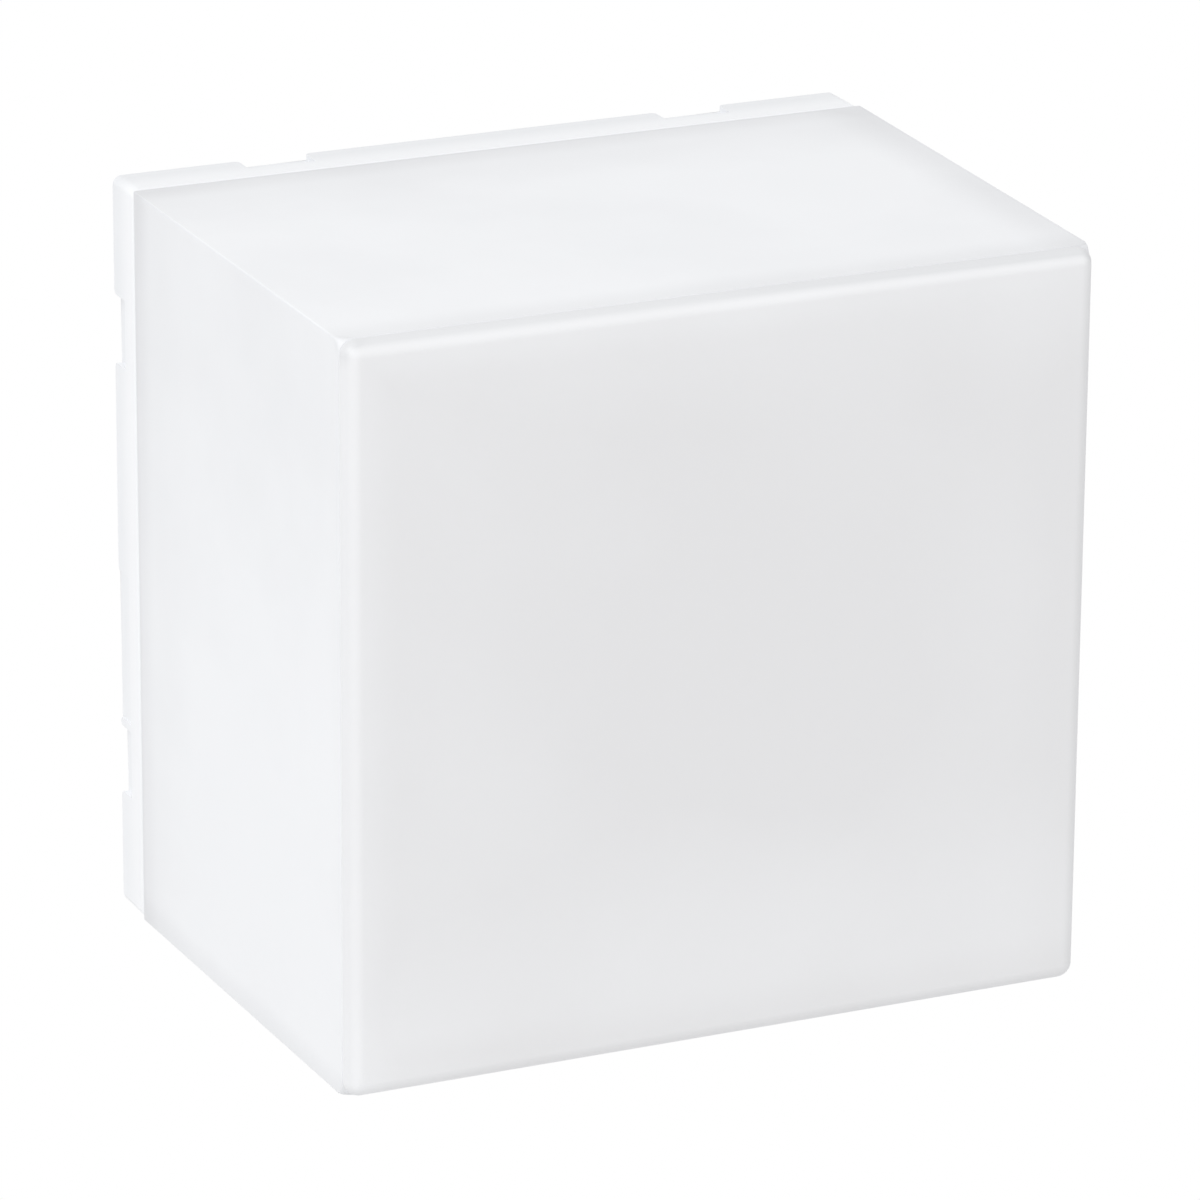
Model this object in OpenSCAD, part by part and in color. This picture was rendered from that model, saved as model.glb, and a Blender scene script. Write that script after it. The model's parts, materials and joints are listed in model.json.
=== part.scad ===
// Square LED bulkhead wall light: a notched base tray, a deep opal cover and the gear inside.
// Frame: origin at the centre of the wall face, +Y into the wall, +Z up. The light shines along -Y.
// A depth is a distance in front of the wall, so a depth of 16 lies at y = -16.

/* [Cover] */
// Width of the cover's front face
cover_w = 220; // [205:1:250]
// Height of the cover's front face
cover_h = 213; // [205:1:250]
// Depth of the cover from its front face to the base
cover_depth = 148.5; // [110:0.5:180]
// Wall of the cover
cover_wall = 3; // [2.4:0.1:3.4]
// How much each side leans out towards the base, for release from the mould
cover_draft = 1.5; // [0.5:0.1:3]
// Radius round the front face
cover_front_r = 4.5; // [3.8:0.1:6]
// Corner radius where the cover meets the base
cover_rear_r = 1.2; // [0.8:0.1:2]
// Radius of the cover's edges along its depth, at the front
cover_side_r = 0.6; // [0.4:0.1:1.5]
// Length over which the side corners open out to the front's rounding
corner_run = 2.5; // [1.5:0.1:6]
// Step from the cover's sides to its rounded front
front_step = 0.2; // [0.1:0.05:0.4]
// Thickness of the tongue that enters the base's groove
tongue_t = 2.4; // [2:0.1:2.6]
// Depth of the return flange that carries the tongue
flange_depth = 3; // [2:0.1:5]

/* [Base] */
// Overall depth of the base
base_depth = 16; // [15:0.5:20]
// Corner radius of the base's outline
base_corner_r = 2.6; // [2:0.1:4]
// Outer wall of the base's rim
rim_wall = 3; // [2.8:0.1:3.6]
// Width of the front groove and of the rear groove
groove_w = 3.2; // [3:0.1:3.6]
// Depth of the rear groove, which holds the wall seal
rear_groove = 6; // [4:0.5:6.5]
// Thickness of the bridge between the two grooves
groove_bridge = 2; // [1.6:0.1:2.4]
// Thickness of the soft seal under the cover's tongue
seal_t = 1.5; // [1:0.1:1.8]
// Wall on the inner side of the grooves
inner_wall = 2; // [1.6:0.1:3]
// Thickness of the base's floor
floor_t = 3; // [2.6:0.1:3.6]
// Chamfer along the base's front edge
front_chamfer = 1; // [0.4:0.1:1.2]
// Thickness of the ribs that brace the posts
rib_t = 1.8; // [1.2:0.1:2.4]
// Depth of the pockets that lighten the floor from behind
rear_pocket = 1; // [0.6:0.1:1.4]
// Distance between the ribs that are left behind the floor
rear_pitch = 24; // [20:1:30]
// Thickness of the ribs that are left behind the floor
rear_rib = 3; // [2:0.1:5]

/* [Knock-outs] */
// Width of each cable knock-out in the rim
knockout_w = 20; // [14:0.5:24]
// Distance between the two knock-outs of a side
knockout_pitch = 128; // [110:1:140]
// Height of a knock-out from the wall
knockout_depth = 8; // [6:0.5:9]
// How far a knock-out's web lies inside the rim's outer face
knockout_recess = 2; // [1.2:0.1:2.2]
// Rounding at the ends of the raised rim between knock-outs
lug_round = 1.5; // [0.6:0.1:2]
// Length of the shallow grip relief in the left and right rim
relief_len = 44; // [20:1:48]
// Depth of the grip relief
relief_cut = 0.6; // [0.3:0.1:1]
// Distance of the grip relief's middle below the light's centre
relief_drop = 29.5; // [20:0.5:30]

/* [Wall fixing] */
// Distance between fixing holes across
fixing_x = 100; // [92:1:108]
// Distance between fixing holes upwards
fixing_z = 120; // [112:1:124]
// Radius of a fixing hole
fixing_r = 2.75; // [2.5:0.05:3]
// Outer radius of a fixing hole's sealing washer
washer_r = 6.5; // [5.5:0.1:8]
// Thickness of a sealing washer
washer_t = 1.6; // [1:0.1:2.5]
// Wall of the cup that keeps a washer in place
cup_wall = 0.8; // [0.6:0.1:1]
// Height of the cup above the floor
cup_h = 2; // [1:0.1:2.5]

/* [Cable entry] */
// Radius of the entry holes in the floor
entry_r = 10; // [8:0.1:11]
// Distance of each cable entry from the base's side
entry_side = 41.5; // [36:0.5:45]
// Distance of the cable entries from the inner wall below
entry_up = 19; // [15:0.5:22]
// Radius of the grommet's own bore
grommet_bore_r = 4.5; // [3:0.1:5.5]
// Width of the lips round a grommet
grommet_lip = 3; // [2:0.1:3.5]
// Thickness of a grommet's front lip
grommet_front = 2; // [1.5:0.1:3]
// Depth of the pocket behind the floor for a grommet's rear lip
grommet_pocket = 1.3; // [1.1:0.1:1.5]
// Height of a grommet's soft nose above its front lip
grommet_nose = 6; // [3:0.5:8]
// Steps in a grommet's nose, which is cut back to suit the cable
grommet_steps = 3; // [2:1:4]

/* [Gear tray] */
// Gap between the tray's sides and the base's inner wall
tray_side_gap = 8; // [5:0.5:12]
// Gap between the tray's top and the base's inner wall
tray_top_gap = 3.8; // [2:0.1:8]
// Height of the wiring space below the tray
wiring_h = 41; // [38:0.5:44]
// Depth of the tray's front surface
tray_front = 31; // [29:0.5:40]
// Sheet thickness of the tray
tray_t = 1; // [0.8:0.1:1.5]
// Height of the tray's folded skirt
tray_skirt = 21; // [10:0.5:22]
// Inset of the tray's fixing screws from its sides
tray_screw_inset = 9; // [8:0.5:10]
// Radius of the tray's posts
post_r = 4.5; // [3.5:0.1:5]
// Length of a cooling slot in the tray
vent_len = 18; // [10:1:22]
// Width of a cooling slot
vent_w = 3; // [2:0.1:4]
// Length of the tray's slots for the cable tie
tie_slot_len = 7; // [5:0.5:8]
// Width of a slot for the cable tie
tie_slot_w = 2; // [1.6:0.1:3]

/* [LED boards] */
// Gap between the outer boards and the tray's lower and upper edge
board_edge_gap = 14.4; // [12:0.1:16]
// Gap between a board's end and the tray's side
board_end_gap = 13.3; // [13:0.1:18]
// Width of a board
board_w = 18; // [14:0.5:20]
// Thickness of a board
board_t = 1.6; // [1:0.1:2]
// Emitters on each board
chip_count = 12; // [6:1:14]
// Distance of the first emitter from the board's end
chip_end = 13; // [12:0.5:20]
// Side of a square emitter
chip_side = 5; // [3:0.1:5.4]
// Height of an emitter
chip_t = 0.9; // [0.6:0.1:1.5]

/* [Driver] */
// Length of the driver
driver_len = 118; // [100:1:124]
// Width of the driver
driver_w = 40; // [34:0.5:44]
// Thickness of the driver's case without its lid
driver_t = 20; // [16:0.5:21]
// Thickness of the driver's lid
lid_t = 2; // [1.5:0.1:3]
// Gap between the driver and the washers above it
driver_gap = 1.5; // [1:0.1:4]
// Length of the ear at each end of the driver
ear_len = 10; // [9:0.5:12]
// Thickness of an ear
ear_t = 2.4; // [1.6:0.1:2.6]
// Depth at which the ears rest on their bosses
ear_seat = 8; // [6:0.5:8]
// Height of the cooling ribs on the driver's lid
lid_rib_h = 0.8; // [0.4:0.1:1.2]
// Distance between cooling ribs
lid_rib_pitch = 6; // [4:0.5:10]
// Thickness of a cooling rib
lid_rib_t = 1.4; // [1:0.1:2]
// Length of the collar round each of the driver's leads
collar_len = 2; // [1:0.1:3]

/* [Terminal block] */
// Distance between poles
pole_pitch = 12; // [11.5:0.1:13]
// Height of the block
block_h = 22; // [21:0.5:23]
// Thickness of the block
block_t = 14; // [13:0.5:16]
// Wall at each end of the block
block_end = 1.5; // [1:0.1:3]
// Place of the block's centre across
block_x = 6; // [0:1:10]
// Space between the block and the inner wall below it
block_up = 7.8; // [6:0.1:8.5]
// Length of the block's fixing flanges
flange_len = 9; // [8:0.5:11]
// Thickness of the block's fixing flanges
flange_t = 3; // [2:0.1:4]
// Depth at which the flanges rest on their bosses
flange_seat = 7; // [5:0.5:8]
// Width of a lever
lever_w = 8; // [6:0.1:8.4]
// Length of a lever from its pivot
lever_len = 14; // [11:0.5:15]
// Thickness of a lever's arm
lever_t = 2; // [1.8:0.1:2.4]
// Radius of a lever's pivot pin
pivot_r = 1.2; // [0.9:0.05:1.3]
// Radius of the funnel at a wire entry
funnel_r = 2.8; // [2.3:0.1:3]
// Depth of the funnel
funnel_depth = 1.5; // [0.5:0.1:2]
// Depth of the grooves between the block's poles
pole_groove = 0.6; // [0.3:0.1:0.7]

/* [Clamp screws] */
// Distance between the two clamp screws in the lower rim
clamp_pitch = 120; // [60:1:140]
// Radius of a clamp screw
clamp_r = 1.5; // [1.2:0.05:1.6]
// How far a clamp screw lies sunk in the rim's outer face
clamp_sink = 0.5; // [0.3:0.1:0.8]
// Distance of the clamp screws behind the base's front edge
clamp_edge = 3.4; // [3.2:0.1:3.6]

/* [Leads] */
// Diameter of an insulated lead
lead_d = 2.2; // [1.6:0.1:2.4]

/* [Hidden] */
$fn = 48;
// Overlap that keeps a cut open at its faces
cut = 1;
// Overlap that joins two shapes of one piece
bond = 0.01;
// Clearance between pieces that seat on each other
seat_gap = 0.1;
// Clearance between the cover and the base
cover_gap = 0.2;
// Clearance round a moving lever
lever_gap = 0.35;
// Radial running clearance of a pivot pin
pin_gap = 0.1;

// Outline of the base, which the cover meets flush
base_w = cover_w + 2 * cover_draft;
base_h = cover_h + 2 * cover_draft;

// Distances inwards from the rim's outer face
groove_in = rim_wall + groove_w;
inner_in = groove_in + inner_wall;
tongue_in = rim_wall + (groove_w - tongue_t) / 2;
tongue_inner = tongue_in + tongue_t;

// Depths of what meets in the rim
groove_floor = rear_groove + groove_bridge;
seal_front = groove_floor + seal_t;
tongue_rear = seal_front + cover_gap;
cover_rear = base_depth + cover_gap;
cover_front = base_depth + cover_depth;
shoulder = cover_front - cover_front_r;

// Corner radius inside the cover
inner_corner_r = 0.8;

// Clamp screws and their threaded inserts
clamp_depth = base_depth - clamp_edge;
clamp_len = tongue_in - cover_gap - clamp_sink;
insert_r = clamp_r + 0.7;
insert_sink = 1;
socket_r = 0.9;
socket_depth = 1.2;

// Places in the base
inner_bottom = -base_h / 2 + inner_in;
entry_x = base_w / 2 - entry_side;
entry_z = inner_bottom + entry_up;
post_front = tray_front - tray_t;
rib_front = min(base_depth - 2, tray_front - tray_skirt - 1);

// Ribs behind the floor, and what stays solid round fixings, entries and bosses
rear_cells_x = floor((base_w / 2 - inner_in) / rear_pitch);
rear_cells_z = floor((base_h / 2 - inner_in) / rear_pitch);
fixing_pad_r = washer_r + 1.5;
entry_pad_r = entry_r + grommet_lip + 2;
boss_r = 4;
boss_pad_r = boss_r + 4;
cup_gap = 0.2;

// Gear tray
tray_w = base_w - 2 * (inner_in + tray_side_gap);
tray_top = base_h / 2 - inner_in - tray_top_gap;
tray_bottom = inner_bottom + wiring_h;
tray_h = tray_top - tray_bottom;
tray_z = (tray_top + tray_bottom) / 2;
tray_post_x = tray_w / 2 - tray_screw_inset;
tray_post_z = tray_h / 2 - tray_screw_inset;
tray_corner_r = 1.5;
corner_relief = 3;

// Screws: thread radius, head radius, head height and length
tray_screw = [1.5, 3.2, 2, 12];
board_screw = [1.1, 2.3, 1.5, 5];
ear_screw = [1.3, 2.6, 1.7, 8];
lid_screw = [1, 2, 1.3, 8];
block_screw = [1.3, 2.6, 1.7, 8];
earth_screw_size = [1.5, 3, 2, 6];
thread_gap = 0.1;
shank_gap = 0.3;

// LED boards
board_count = 4;
board_len = tray_w - 2 * board_end_gap;
board_pitch = (tray_h - 2 * board_edge_gap - board_w) / (board_count - 1);
board_front = tray_front + board_t;
chip_pitch = (board_len - 2 * chip_end) / (chip_count - 1);
board_screw_x = chip_pitch * (chip_count / 2 - 1);
lens_r = chip_side * 0.38;
connector_w = 6;
connector_h = 8;
connector_t = 4;
connector_x = board_len / 2 - connector_w / 2 - 1;
connector_pin = 1.4;

// Driver
driver_z = fixing_z / 2 - washer_r - driver_gap - driver_w / 2;
driver_rear = floor_t + 0.6;
driver_front = driver_rear + driver_t;
driver_r = 2;
ear_w = 14;
ear_x = driver_len / 2 + ear_len / 2;
lid_inset = 4.5;
lid_step = 3;
driver_lead_z = 6;
driver_lead_depth = 13;
lead_socket = 4;
collar_r = 2.4;

// Terminal block
poles = [-1, 0, 1];
block_w = 3 * pole_pitch + 2 * block_end;
block_z = inner_bottom + block_up + block_h / 2;
block_rear = floor_t + seat_gap;
block_front = block_rear + block_t;
block_top = block_z + block_h / 2;
flange_x = block_w / 2 + flange_len / 2;
pivot_depth = block_front - lever_t;
pivot_z = block_top - 3.5;
root_r = lever_t - seat_gap;
pin_out = 1;
wire_r = 1.8;
tail_depth = block_rear + 3.5;
tail_socket = 5;
pocket_w = 6.4;
pocket_h = 9;
pocket_t = 6;
pocket_z = pivot_z - root_r - 1.2 - pocket_h / 2;
pocket_front = pivot_depth - lever_gap;
strip_t = 0.6;
groove_gap = 0.8;

// Earth point on the tray
earth_x = tray_w / 2 - 45.3;
earth_z = tray_bottom + 5.5;
ring_t = 0.8;
ring_r = 3.4;
barrel_len = 7;
barrel_wall = 0.5;

// Bush that carries the LED leads through the tray
bush_x = tray_w / 2 - 25.3;
bush_z = tray_bottom + 8;
bush_r = 3.9;
bush_bore_r = 2.9;
bush_lip = 1.1;

// Tie slots that hold the mains cable above its entry
tie_pitch = 6;
tie_z = tray_bottom + 8;

// Leads, each a list of hand-laid points as [across, depth, up]
lead_r = lead_d / 2;
lead_sides = 8;
lead_steps = 2;
tail_end = block_top - tail_socket + 1;
driver_end = driver_len / 2;
driver_tail = driver_end - lead_socket + 1;
bush_offset = lead_r + 0.3;
pin_depth = board_front + connector_t / 2;
pin_z = board_z(1) - connector_h / 2 - 0.3;
barrel_depth = tray_front + lead_r + barrel_wall;
line_route = [[pole_x(-1), tail_depth, tail_end], [pole_x(-1), tail_depth, tail_end + 5],
    [pole_x(-1) - 2.5, tail_depth - 0.1, tail_end + 12],
    [pole_x(-1) - 14, tail_depth - 0.2, tail_end + 25.5],
    [11 - driver_end, tail_depth - 0.4, driver_z - 60], [-driver_end - 13, tail_depth + 0.9, driver_z - 32],
    [-driver_end - 20, driver_lead_depth - 2.5, driver_z - 10],
    [-driver_end - 15, driver_lead_depth, driver_z + driver_lead_z - 2],
    [-driver_tail, driver_lead_depth, driver_z + driver_lead_z]];
neutral_route = [[pole_x(0), tail_depth, tail_end], [pole_x(0), tail_depth, tail_end + 5],
    [pole_x(0) - 2.5, tail_depth - 0.1, tail_end + 12], [pole_x(0) - 14, tail_depth - 0.2, tail_end + 27.5],
    [23 - driver_end, tail_depth - 0.4, driver_z - 56], [-driver_end - 1, tail_depth + 0.9, driver_z - 32],
    [-driver_end - 11, driver_lead_depth - 2, driver_z - 16],
    [-driver_end - 9, driver_lead_depth, driver_z - driver_lead_z - 1],
    [-driver_tail, driver_lead_depth, driver_z - driver_lead_z]];
earth_route = [[pole_x(1), tail_depth, tail_end], [pole_x(1), tail_depth, tail_end + 5],
    [pole_x(1) + 0.3, tail_depth + 2.4, tray_bottom - 5.8],
    [pole_x(1) + 1.5, tray_front - 15, tray_bottom - 4.2],
    [pole_x(1) + 4, tray_front - 5, tray_bottom - 3.7], [earth_x - 24, tray_front + 1.8, tray_bottom - 1.7],
    [earth_x - 19.5, tray_front + 2.6, earth_z - 1.7],
    for (back = [15, 12, 9]) [earth_x - back, barrel_depth, earth_z]];
positive_route = [[driver_tail, driver_lead_depth, driver_z + driver_lead_z],
    [driver_end + 11, driver_lead_depth, driver_z + driver_lead_z - 1],
    [driver_end + 20, driver_lead_depth + 2, driver_z - 14],
    [driver_end + 20, tray_front - 11, driver_z - 46],
    [bush_x + 4.5, tray_front - 7, bush_z + 8.8], [bush_x + bush_offset, tray_front - 3, bush_z],
    [bush_x + bush_offset, tray_front + 2, bush_z], [bush_x + 3, tray_front + 5.6, bush_z + 0.8],
    [connector_x + connector_pin - 1, tray_front + 6, pin_z - 5.3],
    [connector_x + connector_pin, pin_depth + 0.2, pin_z - 2.1],
    [connector_x + connector_pin, pin_depth, pin_z]];
negative_route = [[driver_tail, driver_lead_depth, driver_z - driver_lead_z],
    [driver_end + 7, driver_lead_depth, driver_z - driver_lead_z - 1],
    [driver_end + 14, driver_lead_depth + 2, driver_z - 22],
    [driver_end + 15.5, tray_front - 11, driver_z - 50],
    [bush_x + 1, tray_front - 7, bush_z + 7.8], [bush_x - bush_offset, tray_front - 3, bush_z],
    [bush_x - bush_offset, tray_front + 2, bush_z], [bush_x, tray_front + 5.8, bush_z + 0.6],
    [connector_x - connector_pin - 1.2, tray_front + 6.4, pin_z - 5.1],
    [connector_x - connector_pin, pin_depth + 0.2, pin_z - 2.1],
    [connector_x - connector_pin, pin_depth, pin_z]];

// Turns a flat shape drawn in x and z into a slab between two depths.
module slab(near, far) rotate([90, 0, 0]) translate([0, 0, near]) linear_extrude(far - near) children();

// A profile of [radius, depth] points turned round the depth axis at a place on the wall.
module turned(x, z, profile) translate([x, 0, z]) rotate([90, 0, 0]) rotate_extrude() polygon(profile);

// A round bar along the depth.
module bar(x, z, near, far, r) translate([x, 0, z]) slab(near, far) circle(r);

// A shape drawn in y and z, stretched across to a width about a place in x.
module across(x, width) translate([x, 0, 0]) rotate([90, 0, 90])
    linear_extrude(width, center = true) children();

// Rounded rectangle with true arcs.
module rounded(w, h, r) {
    square([w - 2 * r, h], center = true);
    square([w, h - 2 * r], center = true);
    for (sx = [-1, 1], sz = [-1, 1]) translate([sx * (w / 2 - r), sz * (h / 2 - r)]) circle(r);
}

// The base's outline drawn in by a distance.
module outline(inset) rounded(base_w - 2 * inset, base_h - 2 * inset, max(base_corner_r - inset, 0.8));

// A closed band between two distances inwards from the base's outline.
module band(from_in, to_in) difference() {
    outline(from_in);
    outline(to_in);
}

// Children repeated at the four corners of a rectangle.
module at_corners(x, z, centre_z = 0) for (sx = [-1, 1], sz = [-1, 1])
    translate([sx * x, 0, centre_z + sz * z]) children();

// Children on each side of the rim, whose outer face lies at z = 0 there.
module on_rim(turns = [0 : 3]) for (turn = turns)
    rotate([0, 90 * turn, 0]) translate([0, 0, (turn % 2 == 0 ? base_h : base_w) / 2]) children();

// Screws with a cross recess, at a place on the wall; the head seats at a depth.
module screw(x, z, seat, size) difference() {
    turned(x, z, [[0, seat - size[3]], [size[0], seat - size[3]], [size[0], seat], [size[1], seat],
        [size[1], seat + size[2] * 0.6], [size[1] * 0.7, seat + size[2]], [0, seat + size[2]]]);
    translate([x, 0, z]) slab(seat + size[2] * 0.4, seat + size[2] + cut) {
        square([size[1], size[1] * 0.28], center = true);
        square([size[1] * 0.28, size[1]], center = true);
    }
}

// Hole that takes a screw's thread.
module pilot(x, z, near, far, size) bar(x, z, near, far, size[0] + thread_gap);

// Outline of a cut in the rim, open to the wall, with the ends of the raised rim rounded.
module rim_mouth(length) {
    half = length / 2 + lug_round;
    turns = [for (i = [0 : 4]) lug_round * [sin(22.5 * i), cos(22.5 * i) - 1]];
    polygon(concat([[half, cut], [-half, cut]], [for (t = turns) [t.x - half, t.y]],
        [[-length / 2, -knockout_depth], [length / 2, -knockout_depth]],
        [for (i = [4 : -1 : 0]) [half - turns[i].x, turns[i].y]]));
}

// Cut into the rim's outer face.
module rim_cut(length, recess) translate([0, 0, -recess]) linear_extrude(recess + cut) rim_mouth(length);

// Section of the chamfer along the base's front edge: inset from the outer face, then depth.
module chamfer_section(edge) polygon([[edge + cut, -cut], [edge + cut, front_chamfer + cut],
    [edge - front_chamfer - cut, front_chamfer + cut]]);

// Cutter for the chamfer round the base's front edge.
module front_chamfer_cut() {
    corner_x = base_w / 2 - base_corner_r;
    corner_z = base_h / 2 - base_corner_r;
    translate([0, front_chamfer - base_depth, 0]) {
        for (s = [0, 1]) mirror([s, 0, 0]) rotate([90, 0, 0]) translate([corner_x, 0, 0])
            rotate([90, 0, 0]) linear_extrude(2 * corner_z, center = true) chamfer_section(base_corner_r);
        for (s = [0, 1]) mirror([0, 0, s]) translate([0, 0, corner_z]) rotate([90, 0, 90])
            linear_extrude(2 * corner_x, center = true) rotate(90) chamfer_section(base_corner_r);
        for (sx = [0, 1], sz = [0, 1]) mirror([sx, 0, 0]) mirror([0, 0, sz])
            translate([corner_x, 0, corner_z]) rotate([90, 0, 0])
            rotate_extrude(angle = 90) chamfer_section(base_corner_r);
    }
}

// Positions that several pieces share.
module at_fixings() at_corners(fixing_x / 2, fixing_z / 2) children();
module at_tray_posts() at_corners(tray_post_x, tray_post_z, tray_z) children();
function pole_x(pole) = block_x + pole * pole_pitch;
function board_z(i) = tray_z + (i - (board_count + 1) / 2) * board_pitch;

// Post with its rib to the inner wall beside it.
module tray_posts() for (sx = [-1, 1], sz = [-1, 1]) {
    z = tray_z + sz * tray_post_z;
    bar(sx * tray_post_x, z, floor_t - bond, post_front, post_r);
    reach = base_w / 2 - inner_in - tray_post_x + bond;
    translate([sx * (tray_post_x + reach / 2), 0, z]) slab(floor_t - bond, rib_front)
        square([reach, rib_t], center = true);
}

// Boss that carries a screwed ear or flange.
module boss(x, z, seat) bar(x, z, floor_t - bond, seat, boss_r);

// Pockets behind the floor, cut back round the fixings, entries and bosses.
module rear_pockets() slab(-cut, rear_pocket) difference() {
    for (i = [-rear_cells_x : rear_cells_x - 1], k = [-rear_cells_z : rear_cells_z - 1])
        translate([(i + 0.5) * rear_pitch, (k + 0.5) * rear_pitch])
            square(rear_pitch - rear_rib, center = true);
    for (s = [-1, 1]) {
        for (sz = [-1, 1]) translate([s * fixing_x / 2, sz * fixing_z / 2]) circle(fixing_pad_r);
        translate([s * entry_x, entry_z]) circle(entry_pad_r);
        translate([s * ear_x, driver_z]) circle(boss_pad_r);
        translate([block_x + s * flange_x, block_z]) circle(boss_pad_r);
    }
}

module base_housing() color("white") difference() {
    union() {
        slab(0, floor_t) outline(inner_in - bond);
        slab(0, base_depth) band(0, rim_wall);
        slab(rear_groove, groove_floor) band(rim_wall - bond, groove_in + bond);
        slab(0, base_depth) band(groove_in, inner_in);
        tray_posts();
        at_fixings() slab(floor_t - bond, floor_t + cup_h) difference() {
            circle(washer_r + cup_gap + cup_wall);
            circle(washer_r + cup_gap);
        }
        for (s = [-1, 1]) {
            boss(s * ear_x, driver_z, ear_seat);
            boss(block_x + s * flange_x, block_z, flange_seat);
        }
    }
    at_fixings() bar(0, 0, -cut, floor_t + cut, fixing_r);
    for (s = [-1, 1]) {
        bar(s * entry_x, entry_z, -cut, floor_t + cut, entry_r);
        bar(s * entry_x, entry_z, -cut, grommet_pocket, entry_r + grommet_lip + seat_gap);
        pilot(s * ear_x, driver_z, 1, ear_seat + cut, ear_screw);
        pilot(block_x + s * flange_x, block_z, 1, flange_seat + cut, block_screw);
        translate([s * clamp_pitch / 2, -clamp_depth, -base_h / 2 - cut])
            cylinder(h = rim_wall + 2 * cut, r = insert_r + seat_gap / 2);
        for (sz = [-1, 1]) pilot(s * tray_post_x, tray_z + sz * tray_post_z, floor_t, post_front + cut,
            tray_screw);
    }
    on_rim() for (s = [-1, 1]) translate([s * knockout_pitch / 2, 0, 0])
        rim_cut(knockout_w, knockout_recess);
    on_rim([1]) translate([relief_drop, 0, 0]) rim_cut(relief_len, relief_cut);
    on_rim([3]) translate([-relief_drop, 0, 0]) rim_cut(relief_len, relief_cut);
    front_chamfer_cut();
    rear_pockets();
}

module wall_seal() color("dimgray") slab(0, rear_groove - seat_gap)
    band(rim_wall + seat_gap, groove_in - seat_gap);

module cover_seal() color("dimgray") slab(groove_floor, seal_front)
    band(rim_wall + seat_gap, groove_in - seat_gap);

// Soft fitting pressed into an entry hole, with a lip on both sides of the floor; a bore of 0 closes it.
module entry_fitting(x, bore, nose_r, nose) {
    lip_r = entry_r + grommet_lip;
    front = floor_t + seat_gap + grommet_front;
    root_radius = entry_r - 1.5;
    steps = [for (i = [0 : grommet_steps - 1])
        let (r = root_radius + (nose_r - root_radius) * i / (grommet_steps - 1))
        each [[r, front + nose * i / grommet_steps], [r, front + nose * (i + 1) / grommet_steps]]];
    turned(x, entry_z, concat([[bore, 0], [lip_r, 0], [lip_r, grommet_pocket - seat_gap],
        [entry_r - seat_gap, grommet_pocket - seat_gap], [entry_r - seat_gap, floor_t + seat_gap],
        [lip_r, floor_t + seat_gap], [lip_r - 0.6, front]], steps, [[bore, front + nose]]));
}

module cable_grommet() color("dimgray")
    entry_fitting(-entry_x, grommet_bore_r, grommet_bore_r + 1.6, grommet_nose);

module blanking_plug() color("dimgray") entry_fitting(entry_x, 0, entry_r - 3, 1);

module fixing_washers() color("dimgray") at_fixings() difference() {
    bar(0, 0, floor_t, floor_t + washer_t, washer_r);
    bar(0, 0, floor_t - cut, floor_t + washer_t + cut, fixing_r);
}

module clamp_inserts() color("goldenrod") for (s = [-1, 1])
    translate([s * clamp_pitch / 2, -clamp_depth, -base_h / 2]) difference() {
        translate([0, 0, insert_sink]) cylinder(h = rim_wall - insert_sink, r = insert_r);
        cylinder(h = rim_wall + cut, r = clamp_r + pin_gap);
    }

// Folded sheet: a face with a skirt that stops short of each corner.
module gear_tray() color("whitesmoke") difference() {
    union() {
        translate([0, 0, tray_z]) slab(post_front, tray_front) rounded(tray_w, tray_h, tray_corner_r);
        for (s = [-1, 1]) {
            translate([s * (tray_w - tray_t) / 2, 0, tray_z]) slab(tray_front - tray_skirt, tray_front)
                square([tray_t, tray_h - 2 * corner_relief], center = true);
            translate([0, 0, tray_z + s * (tray_h - tray_t) / 2]) slab(tray_front - tray_skirt, tray_front)
                square([tray_w - 2 * corner_relief, tray_t], center = true);
        }
    }
    at_tray_posts() bar(0, 0, post_front - cut, tray_front + cut, tray_screw[0] + shank_gap);
    for (i = [1 : board_count], s = [-1, 1])
        bar(s * board_screw_x, board_z(i), post_front - cut, tray_front + cut, board_screw[0] + thread_gap);
    for (i = [1 : board_count - 1], k = [-2 : 2])
        translate([k * 1.5 * vent_len, 0, (board_z(i) + board_z(i + 1)) / 2])
            slab(post_front - cut, tray_front + cut) rounded(vent_len, vent_w, vent_w / 2 - 0.1);
    for (s = [-1, 1]) translate([s * tie_pitch / 2 - entry_x, 0, tie_z])
        slab(post_front - cut, tray_front + cut) square([tie_slot_w, tie_slot_len], center = true);
    bar(bush_x, bush_z, post_front - cut, tray_front + cut, bush_r + seat_gap);
    bar(earth_x, earth_z, post_front - cut, tray_front + cut, earth_screw_size[0] + thread_gap);
}

module tray_screws() color("silver") for (sx = [-1, 1], sz = [-1, 1])
    screw(sx * tray_post_x, tray_z + sz * tray_post_z, tray_front, tray_screw);

module tray_bush() color("dimgray") turned(bush_x, bush_z, [[bush_bore_r, post_front - bush_lip],
    [bush_r + bush_lip, post_front - bush_lip], [bush_r + bush_lip, post_front], [bush_r, post_front],
    [bush_r, tray_front], [bush_r + bush_lip, tray_front], [bush_r + bush_lip, tray_front + bush_lip],
    [bush_bore_r, tray_front + bush_lip]]);

module led_board(i) color("white") difference() {
    translate([0, 0, board_z(i)]) slab(tray_front, board_front) rounded(board_len, board_w, 1.5);
    for (s = [-1, 1]) bar(s * board_screw_x, board_z(i), tray_front - cut, board_front + cut,
        board_screw[0] + shank_gap);
}

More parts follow.
